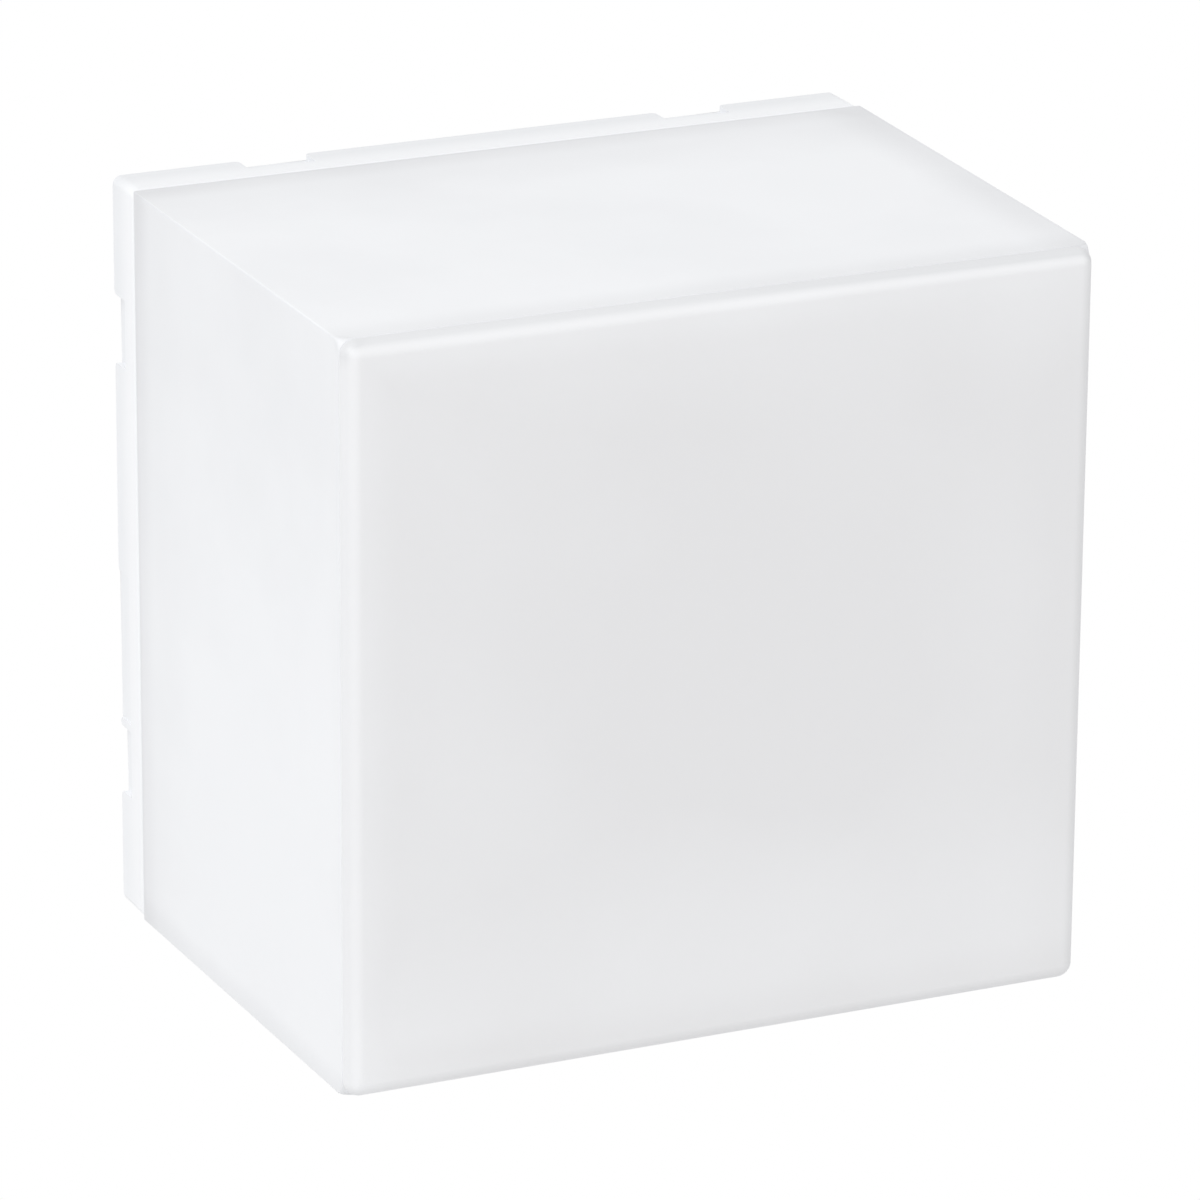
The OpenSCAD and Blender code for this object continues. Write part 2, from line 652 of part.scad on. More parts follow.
// Row of emitters, each a square body with a round well that holds its phosphor.
module led_chips(i) color("khaki") for (k = [0 : chip_count - 1])
    translate([(k - (chip_count - 1) / 2) * chip_pitch, 0, board_z(i)]) difference() {
        slab(board_front, board_front + chip_t) square(chip_side, center = true);
        slab(board_front + chip_t * 0.7, board_front + chip_t + cut) circle(lens_r);
    }

module board_screws() color("silver") for (i = [1 : board_count], s = [-1, 1])
    screw(s * board_screw_x, board_z(i), board_front, board_screw);

module board_connectors() color("white") for (i = [1 : board_count])
    translate([connector_x, 0, board_z(i)]) difference() {
        slab(board_front, board_front + connector_t) square([connector_w, connector_h], center = true);
        for (s = [-1, 1]) translate([s * connector_pin, 0, 0])
            slab(board_front + connector_t - 1, board_front + connector_t + cut)
            square([1.4, connector_h - 3], center = true);
    }

module link_leads() color("ivory") for (i = [1 : board_count - 1], s = [-1, 1])
    translate([connector_x + s * connector_pin, -pin_depth, board_z(i) + connector_h / 2])
        cylinder(h = board_pitch - connector_h, r = 0.8);

// A round bar on the line of one of the driver's leads, from a distance across and outwards.
module lead_bar(side, row, from_x, length, r)
    translate([side * from_x, -driver_lead_depth, driver_z + row * driver_lead_z])
        rotate([0, side * 90, 0]) cylinder(h = length, r = r);

module driver_case() color("whitesmoke") difference() {
    union() {
        translate([0, 0, driver_z]) slab(driver_rear, driver_front) rounded(driver_len, driver_w, driver_r);
        translate([0, 0, driver_z]) slab(ear_seat, ear_seat + ear_t)
            rounded(driver_len + 2 * ear_len, ear_w, 3);
        for (s = [-1, 1], sz = [-1, 1]) lead_bar(s, sz, driver_len / 2 - bond, collar_len + bond, collar_r);
    }
    for (s = [-1, 1]) {
        bar(s * ear_x, driver_z, ear_seat - cut, ear_seat + ear_t + cut, ear_screw[0] + shank_gap);
        for (sz = [-1, 1]) {
            pilot(s * (driver_len / 2 - lid_inset), driver_z + sz * (driver_w / 2 - lid_inset),
                driver_front - lid_screw[3], driver_front + cut, lid_screw);
            lead_bar(s, sz, driver_len / 2 - lead_socket, lead_socket + collar_len + cut,
                lead_r + shank_gap);
        }
    }
}

module driver_lid() color("gainsboro") difference() {
    translate([0, 0, driver_z]) union() {
        slab(driver_front, driver_front + lid_t / 2) rounded(driver_len, driver_w, driver_r);
        slab(driver_front, driver_front + lid_t)
            rounded(driver_len - 2 * lid_step, driver_w - 2 * lid_step, driver_r);
        rib_count = floor((driver_len / 2 - 2 * lid_inset) / lid_rib_pitch);
        for (i = [-rib_count : rib_count]) translate([i * lid_rib_pitch, 0, 0])
            slab(driver_front + lid_t - bond, driver_front + lid_t + lid_rib_h)
            square([lid_rib_t, driver_w - 2 * lid_inset], center = true);
    }
    for (sx = [-1, 1], sz = [-1, 1])
        translate([sx * (driver_len / 2 - lid_inset), 0, driver_z + sz * (driver_w / 2 - lid_inset)]) {
            bar(0, 0, driver_front - cut, driver_front + lid_t + cut, lid_screw[0] + shank_gap);
            bar(0, 0, driver_front + lid_t / 2, driver_front + lid_t + cut, lid_screw[1] + shank_gap);
        }
}

module lid_screws() color("silver") for (sx = [-1, 1], sz = [-1, 1])
    screw(sx * (driver_len / 2 - lid_inset), driver_z + sz * (driver_w / 2 - lid_inset),
        driver_front + lid_t / 2, lid_screw);

module driver_screws() color("silver") for (s = [-1, 1])
    screw(s * ear_x, driver_z, ear_seat + ear_t, ear_screw);

// Lever terminal block: each pole has an open well for the lever's root and a pocket for its spring.
module terminal_block() color("gainsboro") difference() {
    union() {
        translate([block_x, 0, block_z]) slab(block_rear, block_front)
            square([block_w, block_h], center = true);
        translate([block_x, 0, block_z]) slab(flange_seat, flange_seat + flange_t)
            rounded(block_w + 2 * flange_len, block_h * 0.6, 3);
    }
    for (s = [-1, 1]) bar(block_x + s * flange_x, block_z, flange_seat - cut, flange_seat + flange_t + cut,
        block_screw[0] + shank_gap);
    for (s = [-1, 1]) translate([block_x + s * pole_pitch / 2, 0, block_z])
        slab(block_front - pole_groove, block_front + cut)
            square([groove_gap, block_h + cut], center = true);
    for (pole = poles) {
        translate([pole_x(pole), -pocket_front + pocket_t / 2, block_z - block_h / 2 - cut])
            cylinder(h = cut + funnel_depth, r2 = wire_r,
                r1 = funnel_r + (funnel_r - wire_r) * cut / funnel_depth);
        across(pole_x(pole), lever_w + 2 * lever_gap) {
            translate([-pivot_depth, pivot_z]) circle(root_r + lever_gap);
            translate([-block_front - cut, pivot_z])
                square([lever_t + root_r + lever_gap + cut, block_top - pivot_z + cut]);
            translate([-block_front - cut, pivot_z - lever_len - lever_gap])
                square([lever_t + lever_gap + cut, lever_len + lever_gap + bond]);
        }
        across(pole_x(pole), lever_w + 2 * pin_out + 2 * lever_gap)
            translate([-pivot_depth, pivot_z]) circle(pivot_r + pin_gap);
        across(pole_x(pole), pocket_w)
            translate([-pocket_front - bond, pocket_z - pocket_h / 2]) square([pocket_t, pocket_h]);
        translate([pole_x(pole), -pocket_front + pocket_t / 2, block_z - block_h / 2 - cut])
            cylinder(h = pocket_z - pocket_h / 2 - block_z + block_h / 2 + cut + bond, r = wire_r);
        translate([pole_x(pole), -tail_depth, block_top - tail_socket])
            cylinder(h = tail_socket + cut, r = lead_r + shank_gap);
    }
}

// Bent strip that holds a wire in its pole.
module terminal_springs() color("silver") for (pole = poles) across(pole_x(pole), pocket_w - 2 * seat_gap)
    translate([-pocket_front, pocket_z]) difference() {
        translate([bond, -pocket_h / 2 + seat_gap])
            square([pocket_t - seat_gap - bond, pocket_h - 2 * seat_gap]);
        translate([strip_t, -pocket_h / 2 - cut])
            square([pocket_t - seat_gap - 2 * strip_t, pocket_h + cut - 2 * strip_t]);
    }

module terminal_screws() color("silver") for (s = [-1, 1])
    screw(block_x + s * flange_x, block_z, flange_seat + flange_t, block_screw);

// Lever with its pins; the arm lies in the block's front face and has a lip for a finger.
module lever(pole) color("darkorange") {
    across(pole_x(pole), lever_w) {
        translate([-pivot_depth, pivot_z]) circle(root_r);
        translate([-block_front, pivot_z - lever_len]) square([lever_t, lever_len]);
        translate([-block_front - 1.2, pivot_z - lever_len]) square([1.2 + bond, 2]);
    }
    across(pole_x(pole), lever_w + 2 * pin_out) translate([-pivot_depth, pivot_z]) circle(pivot_r);
}

module earth_ring() color("silver") difference() {
    union() {
        bar(earth_x, earth_z, tray_front, tray_front + ring_t, ring_r);
        translate([earth_x - ring_r - 2, 0, earth_z]) slab(tray_front, tray_front + ring_t)
            square([5, 3], center = true);
        translate([earth_x - ring_r - 2, -tray_front - lead_r - barrel_wall, earth_z]) rotate([0, -90, 0])
            cylinder(h = barrel_len, r = lead_r + barrel_wall);
    }
    bar(earth_x, earth_z, tray_front - cut, tray_front + ring_t + cut, earth_screw_size[0] + shank_gap);
    translate([earth_x - ring_r - 3, -tray_front - lead_r - barrel_wall, earth_z]) rotate([0, -90, 0])
        cylinder(h = barrel_len + cut, r = lead_r + seat_gap);
}

module earth_screw() color("silver") screw(earth_x, earth_z, tray_front + ring_t, earth_screw_size);

// Headless screw in the lower rim: its tip stops just short of the cover's tongue.
module clamp_screw(side) color("silver")
    translate([side * clamp_pitch / 2, -clamp_depth, -base_h / 2 + clamp_sink]) difference() {
        cylinder(h = clamp_len, r = clamp_r);
        translate([0, 0, -cut]) cylinder(h = socket_depth + cut, r = socket_r, $fn = 6);
    }

// A ball whose extremes lie exactly a radius away along every axis.
module ball(r) rotate_extrude($fn = 32) intersection() {
    circle(r, $fn = 32);
    translate([0, -r]) square([r, 2 * r]);
}

// Half of the cover's width or height at a depth, with its draft.
function cover_half(front_size, depth) =
    front_size / 2 + cover_draft * (shoulder - depth) / (shoulder - cover_rear);

// Thin slice of the cover's sides at a depth, drawn in by a wall.
module side_slice(depth, wall, corner_r) slab(depth, depth + bond)
    rounded(2 * (cover_half(cover_w, depth) - wall), 2 * (cover_half(cover_h, depth) - wall), corner_r,
        $fn = 32);

// Balls at the corners of the rounded front, drawn in by a wall.
module front_balls(wall) {
    inset = front_step + cover_front_r;
    at_corners(cover_w / 2 - inset, cover_h / 2 - inset) translate([0, -shoulder, 0])
        ball(cover_front_r - wall);
}

module opal_cover() color("white") difference() {
    union() {
        hull() {
            side_slice(cover_rear, 0, cover_rear_r);
            side_slice(shoulder - corner_run, 0, cover_side_r);
            side_slice(shoulder - bond, 0, cover_front_r);
        }
        hull() front_balls(0);
        slab(tongue_rear, cover_rear + bond) band(tongue_in, tongue_inner);
    }
    hull() {
        front_balls(cover_wall);
        side_slice(cover_rear + flange_depth, cover_wall, inner_corner_r);
    }
    slab(tongue_rear - cut, cover_rear + flange_depth + bond) outline(tongue_inner);
}

// A point on the smooth curve between b and c.
function eased(a, b, c, d, t) = 0.5 * (2 * b + (c - a) * t + (2 * a - 5 * b + 4 * c - d) * t * t
    + (3 * b - a - 3 * c + d) * t * t * t);

// The smooth path through hand-laid points, in x, y and z.
function smooth_path(p) = let (last = len(p) - 1, q = concat(
    [for (i = [0 : last - 1], s = [0 : lead_steps - 1])
        eased(p[max(i - 1, 0)], p[i], p[i + 1], p[min(i + 2, last)], s / lead_steps)], [p[last]]))
    [for (v = q) [v.x, -v.y, v.z]];

function unit(v) = v / norm(v);

// Directions along a path, and a side direction carried along it without twist.
function headings(q) = [for (i = [0 : len(q) - 1]) unit(q[min(i + 1, len(q) - 1)] - q[max(i - 1, 0)])];
function carried(h, i, side) = i == len(h) ? [] :
    let (next = unit(side - (side * h[i]) * h[i])) concat([next], carried(h, i + 1, next));

// An insulated lead swept along its path as one closed tube.
module lead(points) {
    q = smooth_path(points);
    h = headings(q);
    side = carried(h, 0, cross(h[0], [0.3, 0.8, 0.5]));
    n = lead_sides;
    rings = [for (i = [0 : len(q) - 1], k = [0 : n - 1])
        q[i] + lead_r * (cos(360 * k / n) * side[i] + sin(360 * k / n) * cross(h[i], side[i]))];
    walls = [for (i = [0 : len(q) - 2], k = [0 : n - 1])
        let (a = i * n + k, b = i * n + (k + 1) % n) each [[a, a + n, b + n], [a, b + n, b]]];
    polyhedron(rings, concat(walls, [[for (k = [0 : n - 1]) k]],
        [[for (k = [n - 1 : -1 : 0]) (len(q) - 1) * n + k]]));
}

base_housing();
wall_seal();
cover_seal();
cable_grommet();
blanking_plug();
fixing_washers();
clamp_inserts();
gear_tray();
tray_screws();
tray_bush();
led_board(1);  // led_board_1
led_board(2);  // led_board_2
led_board(3);  // led_board_3
led_board(4);  // led_board_4
led_chips(1);  // led_chips_1
led_chips(2);  // led_chips_2
led_chips(3);  // led_chips_3
led_chips(4);  // led_chips_4
board_screws();
board_connectors();
link_leads();
driver_case();
driver_lid();
lid_screws();
driver_screws();
terminal_block();
terminal_springs();
terminal_screws();
earth_ring();
earth_screw();
color("saddlebrown") lead(line_route);  // lead_line
color("royalblue") lead(neutral_route);  // lead_neutral
color("yellowgreen") lead(earth_route);  // lead_earth
color("firebrick") lead(positive_route);  // lead_led_positive
color("black") lead(negative_route);  // lead_led_negative
opal_cover();
clamp_screw(-1);  // clamp_screw_left
clamp_screw(1);  // clamp_screw_right
lever(-1);  // lever_line
lever(0);  // lever_neutral
lever(1);  // lever_earth
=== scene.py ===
"""Looks of a square LED bulkhead wall light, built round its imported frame.

All lengths are in metres and all places are in the frame's own axes: the wall
is the plane y = 0, the light shines along -Y and +Z is up.
"""

import json
import logging
import math
from collections.abc import Iterable
from dataclasses import dataclass, field
from enum import Enum
from itertools import pairwise
from typing import Any

import bmesh
import bpy
from mathutils import Matrix, Vector


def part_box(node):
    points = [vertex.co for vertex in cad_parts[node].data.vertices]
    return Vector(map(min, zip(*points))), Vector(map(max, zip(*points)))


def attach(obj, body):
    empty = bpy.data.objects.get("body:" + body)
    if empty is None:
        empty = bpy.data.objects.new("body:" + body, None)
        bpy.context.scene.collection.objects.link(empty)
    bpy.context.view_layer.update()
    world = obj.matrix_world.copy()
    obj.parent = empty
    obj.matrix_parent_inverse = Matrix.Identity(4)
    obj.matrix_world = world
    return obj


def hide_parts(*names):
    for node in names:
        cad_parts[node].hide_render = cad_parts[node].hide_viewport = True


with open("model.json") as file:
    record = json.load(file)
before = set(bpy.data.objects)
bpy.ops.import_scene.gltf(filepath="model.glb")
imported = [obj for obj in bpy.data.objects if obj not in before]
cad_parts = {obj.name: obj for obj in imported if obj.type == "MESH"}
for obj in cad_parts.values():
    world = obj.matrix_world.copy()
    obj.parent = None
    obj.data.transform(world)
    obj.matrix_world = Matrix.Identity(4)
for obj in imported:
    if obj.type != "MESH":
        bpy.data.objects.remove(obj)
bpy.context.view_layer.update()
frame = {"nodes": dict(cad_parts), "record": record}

LOG = logging.getLogger("bulkhead")
MM = 0.001
MERGE_DISTANCE = 0.0005 * MM
FLAT_ANGLE = math.radians(0.4)
UPRIGHT = Matrix.Rotation(math.radians(90), 3, "X")
ROUND_PROFILE = 0.5
WHITE = (1.0, 1.0, 1.0)
NOISE_RANGE = (0.3, 0.7)
# Numbers of the Mix node's colour sockets, because its other modes use the same names.
MIX_FACTOR, MIX_FIRST, MIX_SECOND, MIX_COLOUR = 0, 6, 7, 2

Colour = tuple[float, float, float]
Place = tuple[float, float, float]
Sizes = tuple[float, float]
# Half sizes, corner radius and depth of one loop of the opal box.
Row = tuple[Sizes, float, float]

# Sizes of the opal box that its mesh and its finish share.
BOX_HALF: Sizes = (110 * MM, 106.5 * MM)
BOX_FRONT = -164.5 * MM
BOX_REAR = -16.2 * MM
BOX_ROLL = 4.5 * MM
BOX_SHOULDER = BOX_FRONT + BOX_ROLL
BOX_DRAFT = 1.5 * MM


class Body(Enum):
    """Bodies of the frame that pieces ride on."""

    BASE = "base"
    COVER = "cover"
    LEVER_LINE = "line_lever"
    LEVER_NEUTRAL = "neutral_lever"
    LEVER_EARTH = "earth_lever"


class Signal:
    """A shader socket that takes part in arithmetic."""

    def __init__(self, graph: "Graph", socket: bpy.types.NodeSocket) -> None:
        """Wraps one output socket of a graph."""
        self.graph = graph
        self.socket = socket

    def maths(self, operation: str, *terms: Any) -> "Signal":
        """Adds one Math node.

        Args:
            operation: Name of the Math node's operation.
            terms: The node's inputs in order, signals or numbers.

        Returns:
            The node's output.
        """
        return self.graph.node("ShaderNodeMath", {"operation": operation}, dict(enumerate(terms)))

    def __add__(self, other: Any) -> "Signal":
        """Adds a signal or number."""
        return self.maths("ADD", self, other)

    def __sub__(self, other: Any) -> "Signal":
        """Takes a signal or number away."""
        return self.maths("SUBTRACT", self, other)

    def __rsub__(self, other: Any) -> "Signal":
        """Takes this signal from a number."""
        return self.maths("SUBTRACT", other, self)

    def __mul__(self, other: Any) -> "Signal":
        """Multiplies by a signal or number."""
        return self.maths("MULTIPLY", self, other)

    def __rmul__(self, other: Any) -> "Signal":
        """Multiplies a number by this signal."""
        return self.maths("MULTIPLY", other, self)

    def __truediv__(self, other: Any) -> "Signal":
        """Divides by a signal or number."""
        return self.maths("DIVIDE", self, other)

    def size(self) -> "Signal":
        """The value without its sign."""
        return self.maths("ABSOLUTE", self)

    def fraction(self) -> "Signal":
        """What is left of the value after its whole number."""
        return self.maths("FRACT", self)

    def sine(self) -> "Signal":
        """The sine of the value."""
        return self.maths("SINE", self)

    def above(self, other: Any) -> "Signal":
        """The larger of two values."""
        return self.maths("MAXIMUM", self, other)

    def ramp(self, low: float, high: float, start: float, end: float) -> "Signal":
        """Eases from start to end while the value goes from low to high.

        Args:
            low: Value at which the result is start.
            high: Value at which the result is end.
            start: Result at and below low.
            end: Result at and above high.

        Returns:
            The eased value.
        """
        inputs = {"Value": self, "From Min": low, "From Max": high, "To Min": start, "To Max": end}
        return self.graph.node("ShaderNodeMapRange", {"interpolation_type": "SMOOTHSTEP"}, inputs)

    def spread(self, low: float, high: float) -> "Signal":
        """Spreads the usual values of a noise over the range from low to high."""
        return self.ramp(*NOISE_RANGE, low, high)


class Graph:
    """The node tree of one material or world."""

    def __init__(self, tree: bpy.types.NodeTree) -> None:
        """Empties a node tree and keeps it."""
        self.tree = tree
        self.tree.nodes.clear()

    def node(self, kind: str, settings: dict[str, Any], inputs: dict[Any, Any], out: Any = 0) -> Signal:
        """Adds one node of any kind.

        Args:
            kind: The node's type name.
            settings: Attributes that are set before the inputs, such as a Math node's operation.
            inputs: Input values or signals by socket name or number.
            out: Name or number of the output that is returned.

        Returns:
            The chosen output.
        """
        made = self.tree.nodes.new(kind)
        for name, value in settings.items():
            setattr(made, name, value)
        for name, value in inputs.items():
            if isinstance(value, Signal):
                self.tree.links.new(value.socket, made.inputs[name])
            elif isinstance(value, tuple) and len(value) == 3 and made.inputs[name].type == "RGBA":
                made.inputs[name].default_value = (*value, 1.0)
            else:
                made.inputs[name].default_value = value
        return Signal(self, made.outputs[out])

    def place(self) -> tuple[Signal, Signal, Signal]:
        """The place on the object.

        Returns:
            Its x, y and z.
        """
        vector = self.node("ShaderNodeTexCoord", {}, {}, "Object")
        x, y, z = (self.node("ShaderNodeSeparateXYZ", {}, {0: vector}, axis) for axis in "XYZ")
        return x, y, z

    def noise(self, scale: float, detail: float, stretch: Place) -> Signal:
        """Noise on object coordinates.

        Args:
            scale: Cells a metre.
            detail: Octaves.
            stretch: Factor on each axis, for a grain.

        Returns:
            The noise value, about 0.5 on average.
        """
        vector = self.node("ShaderNodeTexCoord", {}, {}, "Object")
        turned = self.node("ShaderNodeMapping", {}, {"Vector": vector, "Scale": stretch})
        return self.node("ShaderNodeTexNoise", {}, {"Vector": turned, "Scale": scale, "Detail": detail}, "Fac")

    def background_rays(self) -> Signal:
        """Tells the rays that show the background: the camera's own, and those in gloss or through glass.

        Returns:
            1 for these rays, 0 for all others.
        """
        names = ("Is Camera Ray", "Is Glossy Ray", "Is Transmission Ray")
        camera, glossy, transmitted = (self.node("ShaderNodeLightPath", {}, {}, name) for name in names)
        return camera.above(glossy).above(transmitted)

    def blend(self, factor: Any, first: Any, second: Any) -> Signal:
        """Mixes two colours.

        Args:
            factor: 0 for the first colour, 1 for the second.
            first: Colour or signal.
            second: Colour or signal.

        Returns:
            The mixed colour.
        """
        inputs = {MIX_FACTOR: factor, MIX_FIRST: first, MIX_SECOND: second}
        return self.node("ShaderNodeMix", {"data_type": "RGBA"}, inputs, MIX_COLOUR)

    def bump(self, height: Signal, strength: float, distance: float) -> Signal:
        """A normal that follows a height.

        Args:
            height: The height signal.
            strength: How strongly the bump shows.
            distance: Real height of a full step, in metres.

        Returns:
            The bumped normal.
        """
        return self.node("ShaderNodeBump", {}, {"Strength": strength, "Distance": distance, "Height": height})

    def surface(self, inputs: dict[str, Any]) -> None:
        """Ends the tree with a Principled surface that has the given inputs."""
        self.end(self.node("ShaderNodeBsdfPrincipled", {}, inputs), "ShaderNodeOutputMaterial")

    def end(self, shader: Signal, kind: str) -> None:
        """Links a shader to an output node of the given kind."""
        output = self.tree.nodes.new(kind)
        self.tree.links.new(shader.socket, output.inputs["Surface"])


@dataclass(frozen=True)
class Ease:
    """A change from one amount to another while a value crosses a span."""

    low: float
    high: float
    start: float = 1.0
    end: float = 0.0

    def of(self, value: Signal) -> Signal:
        """The amount at a value."""
        return value.ramp(self.low, self.high, self.start, self.end)


@dataclass(frozen=True)
class Grain:
    """Noise in a surface, and the relief that it makes."""

    scale: float
    detail: float
    strength: float = 0.0
    depth: float = 0.0
    stretch: Place = (1.0, 1.0, 1.0)

    def on(self, graph: Graph) -> Signal:
        """The noise's value, about 0.5 on average."""
        return graph.noise(self.scale, self.detail, self.stretch)

    def relief(self, graph: Graph, height: Signal) -> Signal:
        """The normal of a height, with this grain's strength and depth."""
        return graph.bump(height, self.strength, self.depth)


@dataclass(frozen=True)
class Finish:
    """A surface finish; each kind draws its own node tree."""

    name: str

    def draw(self, graph: Graph) -> None:
        """Draws the finish's nodes in a graph; each kind overrides this."""
        raise NotImplementedError(self.name)

    def material(self) -> bpy.types.Material:
        """Makes the finish's material, or finds it if it is made.

        Returns:
            The material.
        """
        look = f"{self.name}_look"
        found = bpy.data.materials.get(look)
        if found is None:
            found = bpy.data.materials.new(look)
            found.use_nodes = True
            self.draw(Graph(found.node_tree))
        return found


@dataclass(frozen=True)
class OpalFinish(Finish):
    """Satin opal plastic with painted light in its colour: a painted glow at the front's edges, and painted
    shade beside the base, on the rounded edge and over the sides.

    Each easing is taken over the distance from the edge that it is named after, and those across over x.
    """

    # The front's colour is a painted-darker copy of the sides' opal colour. The glow colour is painted light,
    # and the rounded edge's and the seam's colours are painted shade.
    face: Colour = (0.842, 0.842, 0.854)
    painted_glow: Colour = (0.931, 0.938, 0.954)
    painted_roll_shade_colour: Colour = (0.765, 0.772, 0.788)
    flank: Colour = (0.900, 0.911, 0.932)
    seam_painted_shade: Colour = (0.745, 0.752, 0.772)
    half_width: float = BOX_HALF[0]
    half_height: float = BOX_HALF[1]
    front: float = BOX_FRONT
    shoulder: float = BOX_SHOULDER
    rear: float = BOX_REAR

    # Painted glow along the front face's edges, and painted shade near its right edge, its foot and its middle,
    # each by the distance from an edge.
    left_rim: Ease = Ease(3 * MM, 16 * MM, 0.4)
    left_glow: Ease = Ease(5 * MM, 100 * MM, 0.27)
    top_rim: Ease = Ease(3 * MM, 14 * MM, 0.4)
    top_rim_across: Ease = Ease(0.0, BOX_HALF[0], 1.0, 0.35)
    top_glow: Ease = Ease(4 * MM, 45 * MM, 0.34)
    foot_glow: Ease = Ease(24 * MM, 75 * MM, 0.45)
    foot_dip: Ease = Ease(3 * MM, 18 * MM, 0.4)
    right_glow: Ease = Ease(20 * MM, 60 * MM, 0.1)
    right_dip: Ease = Ease(0.0, 26 * MM, 0.27)
    top_right: Sizes = (4 * MM, 8 * MM)
    bottom_left: Sizes = (8 * MM, 8 * MM)
    corner_reach: float = 50 * MM
    top_right_glow: float = 0.26
    bottom_left_glow: float = 0.28
    middle_painted_shade_centre: Sizes = (25 * MM, 8 * MM)
    middle_painted_shade_half: Sizes = (50 * MM, 48 * MM)
    middle_painted_shade: Ease = Ease(0.2, 1.6, -0.07, 0.03)

    # Painted shade on the front's rounded edge, stronger towards the right, the top and the top left corner.
    roll_depth: Ease = Ease(0.0, 2 * MM, 0.0, 1.0)
    roll_across: Ease = Ease(-0.2 * BOX_HALF[0], BOX_HALF[0], 0.46, 0.95)
    roll_top: Ease = Ease(0.0, 6 * MM, 0.44)
    roll_corner: Ease = Ease(2 * MM, 9 * MM, 0.65)
    roll_end: Ease = Ease(0.9 * BOX_ROLL, BOX_ROLL, 0.0, 1.0)

    # Painted shade on the sides: along the rear beside the base, in the front corners near the shoulder, on the
    # top near the shoulder and the right end, down from the top of the sides, and at the foot.
    slope: float = BOX_DRAFT / (BOX_REAR - BOX_SHOULDER)
    top_side: Ease = Ease(0.1 * MM, 0.6 * MM)
    rear_line: Ease = Ease(0.0, 3 * MM, 0.24)
    rear_band: Ease = Ease(0.0, 13 * MM, 0.4)
    rear_corner: Ease = Ease(0.0, 42 * MM, 1.75, 1.0)
    rear_reach: Ease = Ease(0.0, 50 * MM)
    rear_reach_side: float = 0.15
    rear_reach_top: float = 0.2
    shoulder_top_painted_shade: Ease = Ease(0.0, 14 * MM, 0.4)
    shoulder_side_painted_shade: Ease = Ease(0.0, 8 * MM, 0.07)
    shoulder_nook: Ease = Ease(0.0, 4 * MM)
    corner_nook: Ease = Ease(MM, 6 * MM, 0.4)
    right_end_painted_shade: Ease = Ease(0.0, 18 * MM, 0.52)
    side_painted_shade_from_top: Ease = Ease(0.0, 1.8 * BOX_HALF[1], 0.24)
    foot_painted_shade: Ease = Ease(0.0, 9 * MM, 0.42)
    top_painted_shade: float = 0.05

    clouds: Grain = Grain(16.0, 4.0)
    cloud_tone: Ease = Ease(0.35, 0.7, -0.09, 0.09)
    skin: Grain = Grain(2600.0, 2.0, 0.12, 0.02 * MM)
    sheen: Grain = Grain(35.0, 4.0)
    gloss: Sizes = (0.34, 0.42)
    refraction: float = 1.49

    def painted_edge_glow(self, x: Signal, z: Signal) -> Signal:
        """How much painted glow the front face gets by the distance from its edges, less painted shade in its
        middle and near its right edge and foot.

        Args:
            x: Place across.
            z: Place upwards.

        Returns:
            0 in the dim middle, towards 1 at the edges.
        """
        from_left, from_right = x + self.half_width, self.half_width - x
        from_foot, from_top = z + self.half_height, self.half_height - z
        left = self.left_rim.of(from_left) + self.left_glow.of(from_left)
        top = self.top_rim.of(from_top) * self.top_rim_across.of(x) + self.top_glow.of(from_top)
        foot = self.foot_glow.of(from_foot) - self.foot_dip.of(from_foot)
        right = self.right_glow.of(from_right) - self.right_dip.of(from_right)
        upper = self.painted_corner_glow(from_top, from_right, self.top_right, self.top_right_glow)
        lower = self.painted_corner_glow(from_foot, from_left, self.bottom_left, self.bottom_left_glow)
        across = (x - self.middle_painted_shade_centre[0]) / self.middle_painted_shade_half[0]
        up = (z - self.middle_painted_shade_centre[1]) / self.middle_painted_shade_half[1]
        middle_painted_shade = self.middle_painted_shade.of(across * across + up * up)
        return left.above(top).above(foot) + right * (1.0 - top) + upper + lower + middle_painted_shade

    def painted_corner_glow(self, first: Signal, second: Signal, nearest: Sizes, amount: float) -> Signal:
        """Painted glow in one corner of the front.

        Args:
            first: Distance from the corner's one edge.
            second: Distance from its other edge.
            nearest: Distances from both edges up to which the glow is full.
            amount: How strong it is there.

        Returns:
            The glow.
        """
        along = first.ramp(nearest[0], self.corner_reach, 1.0, 0.0)
        return along * second.ramp(nearest[1], self.corner_reach, amount, 0.0)

    def roll_painted_shade(self, x: Signal, y: Signal, z: Signal) -> Signal:
        """How much painted shade the front's rounded edge gets towards the sides.

        Args:
            x: Place across.
            y: Place along the depth.
            z: Place upwards.

        Returns:
            0 on the flat front, towards 1 at the rounding's outer edge.
        """
        from_left, from_top = x + self.half_width, self.half_height - z
        amount = self.roll_across.of(x) + self.roll_top.of(from_top) + self.roll_corner.of(from_left + from_top)
        return self.roll_depth.of(y - self.front) * amount

    def flank_painted_shade(self, x: Signal, y: Signal, z: Signal) -> Signal:
        """How much painted shade the sides get, beside the base, in the front corners and towards their own
        ends.

        Args:
            x: Place across.
            y: Place along the depth.
            z: Place upwards.

        Returns:
            0 for the full flank colour, 1 for the painted seam shade colour.
        """
        from_top, from_foot = self.half_height - z, z + self.half_height
        from_corner = x + self.half_width + from_top
        from_rear, from_shoulder = self.rear - y, y - self.shoulder
        top = self.top_side.of(from_top + from_shoulder * self.slope)
        side = 1.0 - top
